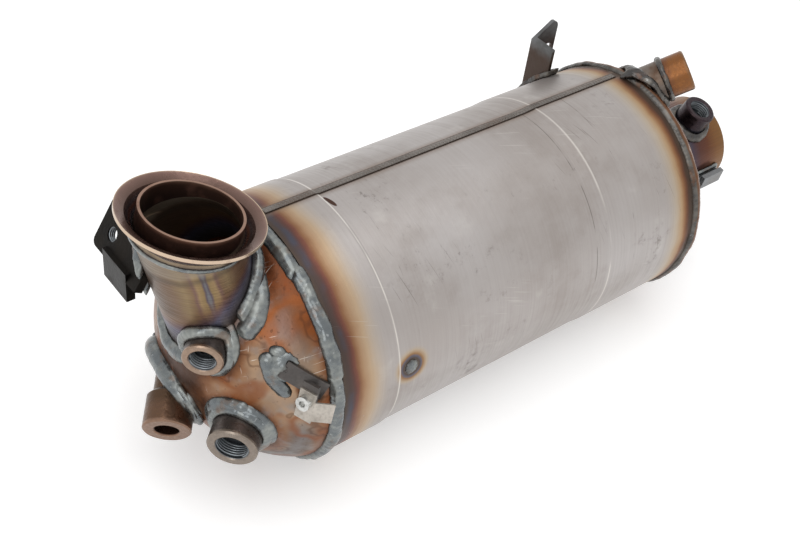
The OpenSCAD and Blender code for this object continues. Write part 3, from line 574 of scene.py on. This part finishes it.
def makeWeldMetal(name, plain, dip, stain, brownFrom=None):
    f = Finish(name, metallic=0.8, roughness=0.3)
    ripple, toe, pit = (f.add("ShaderNodeAttribute", {"attribute_name": label}, out="Fac")
                        for label in ("ripple", "toe", "pit"))
    cloud = f.clouds(110, 0.38, 0.66, detail=5)
    colour = f.mix(cloud, paint(dip), paint(plain))
    colour = f.mix((1 - ripple) * 0.25, colour, paint("5a5d60"))
    brown = f.clouds(85, 0.56, 0.7, detail=4, shift=(0.5, 0, 0.1))
    colour = f.mix(brown * 0.6, colour, paint(stain))
    pale = f.clouds(300, 0.66, 0.76)
    colour = f.mix(pale * 0.4, colour, paint("bfc2c2"))
    colour = f.mix(pit * 0.85, colour, paint("44362c"))
    colour = f.mix((1 - toe) * 0.85, colour, paint("382d26"))
    if brownFrom is not None:
        brownEnd = brownFrom + brownFinish["blend"] * mm
        colour = f.mix(f.x.rise(brownFrom, brownEnd) * 0.85, colour, paint("6b4529"))
    return f.coat(colour, 0.22 + cloud * 0.16, f.noise(f.place, 330), 0.00012)


def makeSeamMetal(s):
    f = Finish("seamMetal", metallic=0.75, roughness=0.38)
    arc = f.y.math("ARCTAN2", f.z - canZ) * (canRadius / mm)
    off = abs(arc - math.radians(canFinish["seamClock"]) * canRadius / mm)
    chevron = (f.x / mm + off.math("POWER", 2) * s["bow"]) * s["ripples"]
    chevron = (chevron + f.noise(f.place, 240) * s["sway"]).math("SINE")
    colour = f.mix(f.clouds(60, 0.4, 0.62), paint("68615b"), paint("7a736d"))
    colour = f.mix(chevron.rise(-1, 1) * 0.3, colour, paint("5d5752"))
    colour = f.mix(off.rise(*s["edge"]) * 0.85, colour, paint("43362e"))
    colour = f.mix(f.clouds(25, 0.55, 0.7) * 0.3, colour, paint("6d5545"))
    return f.coat(colour, 0.36, chevron, 0.00025)


finishes = {
    "canister_shell": makeCanisterSteel(canFinish),
    "inlet_dome": makeDomeSteel(domeFinish),
    "inlet_neck": makeNeckSteel(neckFinish),
    "inlet_flange": makeFlangeSteel(flangeFinish),
    "inlet_stub": makeMouthSteel(flangeFinish),
    "outlet_cap": makeCapSteel(outletFinish),
    "outlet_pipe": makePipeSteel(outletFinish),
    "pressure_tap": makeTapSteel(),
    "clip_tab": makePlateSteel("tabSteel", "4d4947", "6a6460", amount=0.6, rough=0.42),
    "line_clip": makePlateSteel("clipZinc", "b5aea5", "9c948b", amount=0.6, rough=0.36, metallic=0.8),
    "clip_screw": makePlateSteel("screwZinc", "c9c9c6", "a9aaa8", amount=0.5, rough=0.24, metallic=0.9),
    "inlet_bracket": makePlateSteel(
        "bracketSteel", "171513", "2b2621", amount=0.5, rough=0.42, metallic=0.95),
    "support_bracket": makeSupportSteel(supportFinish),
    "outlet_stay": makePlateSteel("staySteel", "77797b", "8d8a86", amount=0.6, rough=0.36, metallic=0.7),
    "filter_monolith": makeCeramic(blockFinish),
    "support_mat": makePlain("fibreMat", "d6d1c4", rough=0.9),
    "mat_seals": makePlain("wireSeal", "8c8c8c", rough=0.5, metallic=0.7),
    "shell_seam_weld": makeSeamMetal(seamFinish),
}
for node, tints in bossTints.items():
    finishes[node] = makeBossSteel(bossFinish, node, *tints)
weldMetal = makeWeldMetal("weldMetal", "8d908c", "696e70", "6c5646")
darkWeld = makeWeldMetal("darkWeld", "66625c", "454240", "5a3c29")
capWeld = makeWeldMetal("capWeld", "6a6660", "464340", "6a4327", canEnd + brownFinish["start"] * mm)
weldMetals = {"plain": weldMetal, "dark": darkWeld, "cap": capWeld}
for node in nodes:
    if node.endswith("_weld") and node not in finishes:
        finishes[node] = weldMetal
for node, material in finishes.items():
    nodes[node].data.materials.clear()
    nodes[node].data.materials.append(material)
print("finishes made:", len(finishes))


# Geometry node trees

def newTree(name, *inputs):       # each input is a name and a socket type
    tree = bpy.data.node_groups.new(name, "GeometryNodeTree")
    tree.interface.new_socket("Geometry", in_out="INPUT", socket_type="NodeSocketGeometry")
    for label, kind in inputs:
        tree.interface.new_socket(label, in_out="INPUT", socket_type="NodeSocket" + kind)
    tree.interface.new_socket("Geometry", in_out="OUTPUT", socket_type="NodeSocketGeometry")
    graph = Graph(tree)
    source = tree.nodes.new("NodeGroupInput")
    given = {s.name: Wire(graph, s) for s in source.outputs if s.name}
    return graph, given


def closeTree(graph, geometry, material):
    solid = graph.add("GeometryNodeRealizeInstances", {}, {0: geometry})
    dressed = graph.add("GeometryNodeSetMaterial", {}, {"Geometry": solid, "Material": material})
    sink = graph.tree.nodes.new("NodeGroupOutput")
    graph.plug(sink.inputs[0], dressed)
    return graph.tree


def grow(name, mesh, tree, values, voxel=None):
    piece = bpy.data.objects.new(name, mesh)
    bpy.context.scene.collection.objects.link(piece)
    if voxel:
        skin = piece.modifiers.new("skin", "REMESH")
        skin.mode = "VOXEL"
        skin.voxel_size = voxel
    modifier = piece.modifiers.new("shape", "NODES")
    modifier.node_group = tree
    sockets = {i.name: i.identifier for i in tree.interface.items_tree if i.in_out == "INPUT"}
    for label, value in values.items():
        modifier[sockets[label]] = value
    ready = piece.evaluated_get(bpy.context.evaluated_depsgraph_get())
    made = bpy.data.meshes.new_from_object(ready)
    piece.modifiers.clear()
    piece.data = made
    made.name = name
    return piece


def weldedCopy(node):
    soup = bmesh.new()
    soup.from_mesh(nodes[node].data)
    bmesh.ops.remove_doubles(soup, verts=soup.verts, dist=mm / 1000)
    mesh = bpy.data.meshes.new(node + "Copy")
    soup.to_mesh(mesh)
    soup.free()
    mesh.materials.clear()
    return mesh


treeSizes = {            # counts, and noise scales per metre
    "blurRounds": 5, "runSides": 26, "coilSteps": 40, "ridgeSides": 4,
    "wobble": 160, "drift": 70, "patch": 45,
    "wobbleTurns": 1.6,                        # most that the wobble shifts a ripple
}
skinInputs = [           # inputs that beads and runs share
    ("Swell", "Float"), ("Lump Size", "Float"), ("Lump Height", "Float"), ("Ripple Pitch", "Float"),
    ("Ripple Height", "Float"), ("Pit Spacing", "Float"), ("Pit Radius", "Float"), ("Seed", "Float"),
    ("Material", "Material"),
]


def skinValues(size, seed, metal):
    return {
        "Swell": size["swell"] * mm, "Lump Size": size["lumpSize"] * mm, "Lump Height": size["lump"] * mm,
        "Ripple Pitch": size["pitch"] * mm, "Ripple Height": size["ripple"] * mm,
        "Pit Spacing": size["pitSpacing"] * mm, "Pit Radius": size["pit"] * mm,
        "Seed": seed, "Material": metal,
    }


def seedNoise(g, place, seed, scale, detail):
    return g.add("ShaderNodeTexNoise", {"noise_dimensions": "4D"},
                 {"Vector": place, "W": seed, "Scale": scale, "Detail": detail})


def scaled(g, vector, factor):
    push = g.vector("SCALE", vector)
    g.plug(push.socket.node.inputs["Scale"], factor)
    return push


def keep(g, geometry, label, value):        # stores a named point attribute
    return g.add("GeometryNodeStoreNamedAttribute", {"data_type": "FLOAT", "domain": "POINT"},
                 {"Geometry": geometry, "Name": label, "Value": value})


def makeBeadTree():      # a smoothed copy of a weld, with ripples round its axis or along it
    g, given = newTree("weldBead", ("Round Radius", "Float"), ("Centre", "Vector"), ("Axis", "Vector"),
                       ("Across", "Vector"), *skinInputs)
    place = g.add("GeometryNodeInputPosition")
    eased = g.add("GeometryNodeBlurAttribute", {"data_type": "FLOAT_VECTOR"},
                  {"Value": place, "Iterations": treeSizes["blurRounds"]})
    soft = g.add("GeometryNodeSetPosition", {}, {"Geometry": given["Geometry"], "Position": eased})
    arm = g.vector("SUBTRACT", place, given["Centre"])
    side = g.vector("CROSS_PRODUCT", given["Axis"], given["Across"])
    around = g.dot(arm, side).math("ARCTAN2", g.dot(arm, given["Across"])) * given["Round Radius"]
    straight = g.dot(arm, given["Axis"]) * given["Round Radius"].math("LESS_THAN", 1e-6)
    wobble = seedNoise(g, place, given["Seed"], treeSizes["wobble"], 2) - 0.5
    phase = (around + straight) / given["Ripple Pitch"] + wobble * treeSizes["wobbleTurns"]
    return closeTree(g, roughen(g, given, soft, place, phase), given["Material"])


def roughen(g, given, skin, place, phase):    # lumps, ripples and pits on a smooth bead
    ripple = (phase * math.tau).math("SINE") * 0.5 + 0.5
    lump = seedNoise(g, place, given["Seed"], 1 / given["Lump Size"], 1.5) - 0.5
    cells = g.add("ShaderNodeTexVoronoi", {"voronoi_dimensions": "4D"},
                  {"Vector": place, "W": given["Seed"], "Scale": 1 / given["Pit Spacing"]})
    chosen = Wire(g, cells.socket.node.outputs["Color"]).rise(0.5, 0.52)
    pit = (1 - (cells * given["Pit Spacing"] / given["Pit Radius"]).rise(0.5, 1.2)) * chosen
    height = given["Swell"] + lump * 2 * given["Lump Height"] + ripple * given["Ripple Height"]
    height = height - pit * given["Pit Radius"] * 0.6
    skin = keep(g, keep(g, skin, "ripple", ripple), "pit", pit)
    push = scaled(g, g.add("GeometryNodeInputNormal"), height)
    moved = g.add("GeometryNodeSetPosition", {}, {"Geometry": skin, "Offset": push})
    return g.add("GeometryNodeSetShadeSmooth", {}, {"Geometry": moved})


def makeRunTree():       # one run of weld along a line of points, blunt at both ends
    g, given = newTree("weldRun", ("Step", "Float"), ("Bead", "Float"), ("Blunt", "Float"),
                       ("Sway", "Float"), *skinInputs)
    line = g.add("GeometryNodeMeshToCurve", {}, {"Mesh": given["Geometry"]})
    line = g.add("GeometryNodeCurveSplineType", {"spline_type": "CATMULL_ROM"}, {"Curve": line})
    line = g.add("GeometryNodeResampleCurve", {"mode": "LENGTH"}, {"Curve": line, "Length": given["Step"]})
    place = g.add("GeometryNodeInputPosition")
    run = g.add("GeometryNodeSplineParameter", out="Length")
    whole = g.add("GeometryNodeSplineLength", out="Length")
    nose = (run.least(whole - run) / given["Blunt"]).least(1)
    drift = seedNoise(g, place, given["Seed"], treeSizes["drift"], 1)
    thick = (nose * (2 - nose)).math("SQRT") * (0.8 + drift * 0.4)
    aside = g.vector("SUBTRACT", Wire(g, drift.socket.node.outputs["Color"]), (0.5, 0.5, 0.5))
    aside = scaled(g, aside, given["Sway"])
    swayed = g.add("GeometryNodeSetPosition", {}, {"Geometry": line, "Offset": aside})
    ring = g.add("GeometryNodeCurvePrimitiveCircle", {"mode": "RADIUS"},
                 {"Resolution": treeSizes["runSides"], "Radius": given["Bead"]})
    body = g.add("GeometryNodeCurveToMesh", {}, {
        "Curve": keep(g, swayed, "run", run), "Profile Curve": ring, "Scale": thick, "Fill Caps": True})
    along = g.add("GeometryNodeInputNamedAttribute", {"data_type": "FLOAT"}, {"Name": "run"})
    return closeTree(g, roughen(g, given, body, place, along / given["Ripple Pitch"]), given["Material"])


# Weld beads: one lumpy, rippled piece for each weld listed below

def shellSearch():
    points, faces = [], []
    for name, node in nodes.items():
        if name.endswith("_weld") or name in ("filter_monolith", "support_mat", "mat_seals"):
            continue
        base = len(points)
        points.extend(v.co.copy() for v in node.data.vertices)
        faces.extend([base + i for i in p.vertices] for p in node.data.polygons)
    return BVHTree.FromPolygons(points, faces)


def storeToe(mesh, shells, reach, farthest=10 * mm):      # 0 where a bead meets a shell, 1 past reach
    toe = [min(1.0, (shells.find_nearest(v.co, farthest)[3] or 0) / reach) for v in mesh.vertices]
    layer = mesh.attributes.get("toe") or mesh.attributes.new("toe", "FLOAT", "POINT")
    layer.data.foreach_set("value", np.array(toe, np.float32))


weldCommon = {           # mm, and the metal
    "swell": 0.3, "lumpSize": 9, "lump": 0.8, "pitch": 2.6, "ripple": 0.07, "toe": 1.0, "voxel": 0.6,
    "pitSpacing": 11, "pit": 1.0, "metal": "plain", "seedStep": 3.7,
}
canAxis = (Vector((0, 0, canZ)), Vector((1, 0, 0)))
plugAlong, plugClock = canFinish["plug"]
plugSpot = onCan(plugAlong * mm, plugClock)
plugAxis = (plugSpot, (onCan(0, plugClock) - onCan(0, 0, 0)).normalized())
weldBeads = {            # node: axis that the ripples go round, radius in mm, and what differs
    "inlet_ring_weld": (canAxis, 77, {"swell": 0.05, "lump": 0.6, "lumpSize": 14}),
    "outlet_ring_weld": (canAxis, 77, {"swell": 0.5, "lump": 1.3, "lumpSize": 11, "metal": "cap"}),
    "neck_weld": ((neckTop, neckUp), 30, {"swell": 0.5, "lump": 1.2, "lumpSize": 13, "pitSpacing": 9}),
    "flange_weld": ((Vector((0, 0, 0)), mouthUp), 28, {"lump": 0.3, "swell": 0.05}),
    "temperature_boss_weld": (
        mountLine("temperature_thread"), 13, {"swell": 0.6, "lump": 1.3, "lumpSize": 8}),
    "pressure_boss_weld": (mountLine("pressure_bore"), 13, {"swell": 1.2, "lump": 1.0, "lumpSize": 8}),
    "oxygen_boss_weld": (mountLine("oxygen_thread"), 16, {"swell": 0.6, "lump": 1.3, "lumpSize": 9}),
    "clip_tab_weld": (canAxis, 66, {"lump": 0.8, "lumpSize": 7}),
    "inlet_bracket_weld": ((neckTop, neckUp), 28, {"lump": 0.8, "lumpSize": 7}),
    "support_bracket_weld": (canAxis, 77, {"swell": -0.4, "lump": 1.2, "lumpSize": 6, "metal": "dark"}),
    "outlet_pipe_weld": (canAxis, 33, {"lump": 0.8, "metal": "dark"}),
    "outlet_boss_weld": (mountLine("outlet_thread"), 13, {"swell": -0.2, "lump": 1.2, "metal": "dark"}),
    "pressure_tap_weld": (
        mountLine("tap_bore"), 15, {"swell": 0.5, "lump": 1.5, "lumpSize": 7, "metal": "dark"}),
    "tap_sleeve_weld": (
        mountLine("tap_bore"), 14, {"swell": -0.5, "lump": 0.9, "lumpSize": 6, "metal": "dark"}),
    "outlet_stay_weld": (canAxis, 33, {"lump": 0.9, "lumpSize": 6}),
    "plug_weld": (plugAxis, 4, {"lump": 0.2, "swell": 0.1, "lumpSize": 4, "voxel": 0.35}),
}
beadTree = makeBeadTree()
shells = shellSearch()
for seed, (node, ((point, axis), radius, own)) in enumerate(weldBeads.items()):
    size = {**weldCommon, **own}
    first, *others = node.split("_")
    name = first + "".join(word.capitalize() for word in others) + "Bead"
    values = skinValues(size, seed * size["seedStep"], weldMetals[size["metal"]])
    values.update({"Round Radius": radius * mm, "Centre": point, "Axis": axis,
                   "Across": axis.orthogonal().normalized()})
    bead = grow(name, weldedCopy(node), beadTree, values, size["voxel"] * mm)
    storeToe(bead.data, shells, size["toe"] * mm)
    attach(bead, "root")
    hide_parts(node)
print("weld beads made:", len(weldBeads))


# Runs laid over the first beads, as overlapping ends and second passes

runSizes = {             # mm
    "ringRadius": 74.6, "step": 0.8, "blunt": 5, "sway": 1.8, "swell": 0.0, "lumpSize": 7,
    "lump": 1.0, "pitch": 3.1, "ripple": 0.08, "pitSpacing": 8, "pit": 1.1,
    "ringDegrees": 4, "bossSteps": 24,         # spacing of the points that a run goes through
    "firstSeed": 60, "seedStep": 2.3,
}


def onRing(clockFrom, clockTo, back):         # along the inlet ring weld, set back from the canister's edge
    steps = max(2, round(abs(clockTo - clockFrom) / runSizes["ringDegrees"]))
    return [onCan(-back * mm, clockFrom + (clockTo - clockFrom) * i / steps, runSizes["ringRadius"] * mm)
            for i in range(steps + 1)]


def roundBoss(mount, reach, turnFrom, turnTo, sunk):      # where a tube on the boss's axis meets the crown
    point, axis = mountLine(mount)
    side = Vector((0, 0, 1)).cross(axis).normalized()
    rise = axis.cross(side)
    steps = runSizes["bossSteps"]
    ball = (neckSizes["crownRadius"] - sunk * mm) ** 2
    spots = []
    for i in range(steps + 1):
        turn = math.radians(turnFrom + (turnTo - turnFrom) * i / steps)
        arm = point + reach * mm * (math.cos(turn) * side + math.sin(turn) * rise) - crownCentre
        half = arm.dot(axis)
        along = math.sqrt(max(0, half * half - arm.dot(arm) + ball)) - half
        spots.append(crownCentre + arm + axis * along)
    return spots


def overDome(sunk, *seats):        # clock angle and distance off the axis in mm
    return [onDome(clock, out * mm, sunk * mm) for clock, out in seats]


weldTrails = {           # points and bead radius in mm
    "ringRunTop": (onRing(-26, 75, 4.6), 4.1),
    "ringRunFront": (onRing(-20, -71, 2.9), 4.6),
    "ringRunLow": (onRing(-66, -133, 3.6), 4.2),
    "ringRunBack": (onRing(72, 229, 3.7), 4.0),
    "neckRunRight": (overDome(
        2.2, (-11, 69.5), (-16.7, 68.6), (-23.1, 67), (-28.3, 64.8), (-34, 60.2), (-38, 54)), 6.0),
    "neckRunLeft": (overDome(1.6, (11.3, 29.2), (2.3, 25.2), (-12, 26.5)), 3.8),
    "tabRunLow": (overDome(
        1.8, (-49.1, 61.1), (-56.1, 60.2), (-63.8, 60.9), (-70.3, 63.5), (-72.3, 66.1)), 4.6),
    "tabRunHigh": (overDome(1.4, (-48.4, 61.9), (-50.7, 64.8), (-53, 67.2)), 3.4),
    "temperatureRun": (roundBoss("temperature_thread", 13.8, -150, 150, 1.6), 4.6),
    "pressureRun": (roundBoss("pressure_bore", 12.4, -80, 200, -0.2), 6.4),
    "pressureRunFoot": (roundBoss("pressure_bore", 15.0, -60, 60, 0.6), 5.8),
    "oxygenRun": (roundBoss("oxygen_thread", 16.4, -30, 215, 1.6), 4.6),
    "oxygenRunTop": (roundBoss("oxygen_thread", 17.5, 70, 170, 0.8), 4.2),
}
runTree = makeRunTree()
for seed, (name, (points, thickness)) in enumerate(weldTrails.items()):
    line = bpy.data.meshes.new(name)
    line.from_pydata(points, [(i, i + 1) for i in range(len(points) - 1)], [])
    values = skinValues(runSizes, runSizes["firstSeed"] + seed * runSizes["seedStep"], weldMetal)
    values.update({"Step": runSizes["step"] * mm, "Bead": thickness * mm, "Blunt": runSizes["blunt"] * mm,
                   "Sway": runSizes["sway"] * mm})
    run = grow(name, line, runTree, values)
    storeToe(run.data, shells, weldCommon["toe"] * mm)
    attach(run, "root")
print("weld runs made:", len(weldTrails))


# Threads

def makeThreadTree():
    g, given = newTree("threadRidge", ("Radius", "Float"), ("Pitch", "Float"), ("Turns", "Float"),
                       ("Ridge", "Float"), ("Material", "Material"))
    coil = g.add("GeometryNodeCurveSpiral", {}, {
        "Resolution": treeSizes["coilSteps"], "Rotations": given["Turns"], "Start Radius": given["Radius"],
        "End Radius": given["Radius"], "Height": given["Turns"] * given["Pitch"]})
    ridge = g.add("GeometryNodeCurvePrimitiveCircle", {"mode": "RADIUS"},
                  {"Resolution": treeSizes["ridgeSides"], "Radius": given["Ridge"]})
    body = g.add("GeometryNodeCurveToMesh", {}, {"Curve": coil, "Profile Curve": ridge, "Fill Caps": True})
    return closeTree(g, body, given["Material"])


threadSizes = {          # pitch, mm
    "temperature_thread": 1.5, "oxygen_thread": 1.5, "outlet_thread": 1.5, "bracket_thread": 1.25,
}
threadMetal = makePlateSteel("threadSteel", "8b9094", "6d7276", amount=0.5, rough=0.3, metallic=0.85)
threadTree = makeThreadTree()
for mount, pitch in threadSizes.items():
    point, axis = mountLine(mount)
    dims = mounts[mount]["dims"]
    turns = (dims["length_mm"] - pitch) / pitch
    name = mount.split("_")[0] + "Thread"
    thread = grow(name, bpy.data.meshes.new(name), threadTree, {
        "Radius": dims["r_mm"] * mm, "Pitch": pitch * mm, "Turns": turns, "Ridge": 0.5 * pitch * mm,
        "Material": threadMetal})
    start = point - axis * (dims["length_mm"] - pitch / 2) * mm
    thread.data.transform(Matrix.Translation(start) @ axis.to_track_quat("Z", "Y").to_matrix().to_4x4())
    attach(thread, "root")
print("threads made:", len(threadSizes))


# Weld spatter on the dome and beside the ring weld

def makeSpatterTree():
    g, given = newTree("weldSpatter", ("Spacing", "Float"), ("Density", "Float"), ("Smallest", "Float"),
                       ("Largest", "Float"), ("Seed", "Int"), ("Material", "Material"))
    place = g.add("GeometryNodeInputPosition")
    patch = g.add("ShaderNodeTexNoise", {}, {"Vector": place, "Scale": treeSizes["patch"]}).rise(0.56, 0.7)
    spots = g.add("GeometryNodeDistributePointsOnFaces", {"distribute_method": "POISSON"}, {
        "Mesh": given["Geometry"], "Distance Min": given["Spacing"], "Density Max": given["Density"],
        "Density Factor": patch, "Seed": given["Seed"]})
    ball = g.add("GeometryNodeMeshIcoSphere", {}, {"Radius": 1.0, "Subdivisions": 1})
    size = g.add("FunctionNodeRandomValue", {"data_type": "FLOAT"},
                 {2: given["Smallest"], 3: given["Largest"], "Seed": given["Seed"]}, 1)
    drops = g.add("GeometryNodeInstanceOnPoints", {}, {"Points": spots, "Instance": ball, "Scale": size})
    return closeTree(g, drops, given["Material"])


spatterSizes = {         # mm, and drops per square metre
    "spacing": 2.2, "smallest": 0.12, "largest": 0.36,
    "reach": 20, "back": 6,                    # to both sides of the ring weld
    "outward": 20,                             # leaves out faces that look inwards or along the canister
    "dome": 9000, "can": 60000, "firstSeed": 5,
}
spatterMetal = makePlateSteel("spatterSteel", "b9b7b2", "8f8a84", amount=0.6, rough=0.34, metallic=0.7)
spatterTree = makeSpatterTree()


def outerFaces(node, wanted):
    soup = bmesh.new()
    soup.from_mesh(nodes[node].data)
    lost = [f for f in soup.faces if not wanted(f.calc_center_median(), f.normal)]
    bmesh.ops.delete(soup, geom=lost, context="FACES")
    mesh = bpy.data.meshes.new(node + "Outer")
    soup.to_mesh(mesh)
    soup.free()
    return mesh


def onDomeFront(spot, normal):
    return (spot - crownCentre).dot(normal) > 0 and spot.x < canStart - spatterSizes["back"] * mm


def onCanEdge(spot, normal):
    outward = normal.dot(spot - canAxis[0]) > spatterSizes["outward"] * mm
    return outward and spot.x < canStart + spatterSizes["reach"] * mm


spatterFields = {        # density, and the faces that the drops lie on
    "domeSpatter": (spatterSizes["dome"], outerFaces("inlet_dome", onDomeFront)),
    "canSpatter": (spatterSizes["can"], outerFaces("canister_shell", onCanEdge)),
}
for seed, (name, (perSquareMetre, field)) in enumerate(spatterFields.items()):
    spatter = grow(name, field, spatterTree, {
        "Spacing": spatterSizes["spacing"] * mm, "Density": perSquareMetre,
        "Smallest": spatterSizes["smallest"] * mm, "Largest": spatterSizes["largest"] * mm,
        "Seed": spatterSizes["firstSeed"] + seed, "Material": spatterMetal})
    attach(spatter, "root")
    print(name, len(spatter.data.polygons), "faces")


# Stage, light and camera

stageSizes = {"floor": 6.0, "gap": 0.002, "white": 0.9, "lift": 0.28}      # metres, tint and own glow
worldSizes = {"seen": 1.0, "lit": 0.75}        # strength to the camera and gloss, and on the object


def seenRay(g):
    path = g.add("ShaderNodeLightPath").socket.node
    rays = [Wire(g, path.outputs[n]) for n in ("Is Camera Ray", "Is Glossy Ray", "Is Transmission Ray")]
    return rays[0].most(rays[1]).most(rays[2])


def makeFloor(s):
    mesh = bpy.data.meshes.new("floor")
    half = s["floor"] / 2
    z = cadBox[0][2] - s["gap"]
    corners = [(-half, -half, z), (half, -half, z), (half, half, z), (-half, half, z)]
    mesh.from_pydata(corners, [], [(0, 1, 2, 3)])
    floor = bpy.data.objects.new("floor", mesh)
    bpy.context.scene.collection.objects.link(floor)
    f = Finish("floorWhite", metallic=0.0, roughness=0.9)
    f.shader.inputs["Base Color"].default_value = (s["white"],) * 3 + (1,)
    f.shader.inputs["Emission Strength"].default_value = s["lift"]
    f.plug(f.shader.inputs["Emission Color"], f.mix(seenRay(f), (0, 0, 0, 1), (1, 1, 1, 1)))
    mesh.materials.append(f.material)


def makeWorld(s):
    world = bpy.data.worlds.new("studio")
    bpy.context.scene.world = world
    world.use_nodes = True
    g = Graph(world.node_tree)
    shown = seenRay(g)
    back = world.node_tree.nodes["Background"]
    back.inputs["Color"].default_value = (1, 1, 1, 1)
    g.plug(back.inputs["Strength"], s["lit"] + shown * (s["seen"] - s["lit"]))


makeFloor(stageSizes)
makeWorld(worldSizes)
lampSizes = {            # place, aim and size in metres, and watts
    "overhead": ((0.0, -0.3, 1.5), (0.1, 0, -0.1), 1.4, 9),
    "left": ((-1.1, -0.7, 0.7), (0.1, 0, -0.1), 0.8, 4),
}
for name, (place, aim, size, power) in lampSizes.items():
    lamp = bpy.data.lights.new(name, "AREA")
    lamp.size, lamp.energy = size, power
    holder = bpy.data.objects.new(name, lamp)
    holder.location = place
    holder.rotation_euler = (Vector(aim) - Vector(place)).to_track_quat("-Z", "Y").to_euler()
    bpy.context.scene.collection.objects.link(holder)

cameraSizes = {          # place in metres, lens and sensor in mm
    "place": (-0.2279, -0.3895, 0.3824),
    "right": (0.784, -0.610, 0.110),
    "forward": (0.511, 0.536, -0.672),
    "lens": 53.95, "sensor": 36,
}
camera = bpy.data.cameras.new("camera")
camera.lens, camera.sensor_width = cameraSizes["lens"], cameraSizes["sensor"]
forward = Vector(cameraSizes["forward"]).normalized()
right = Vector(cameraSizes["right"])
right = (right - right.dot(forward) * forward).normalized()
turn = Matrix((right, right.cross(forward), -forward)).transposed()
viewer = bpy.data.objects.new("camera", camera)
viewer.matrix_world = Matrix.Translation(cameraSizes["place"]) @ turn.to_4x4()
bpy.context.scene.collection.objects.link(viewer)
bpy.context.scene.camera = viewer
bpy.context.scene.view_settings.view_transform = "Standard"

print("stage set")
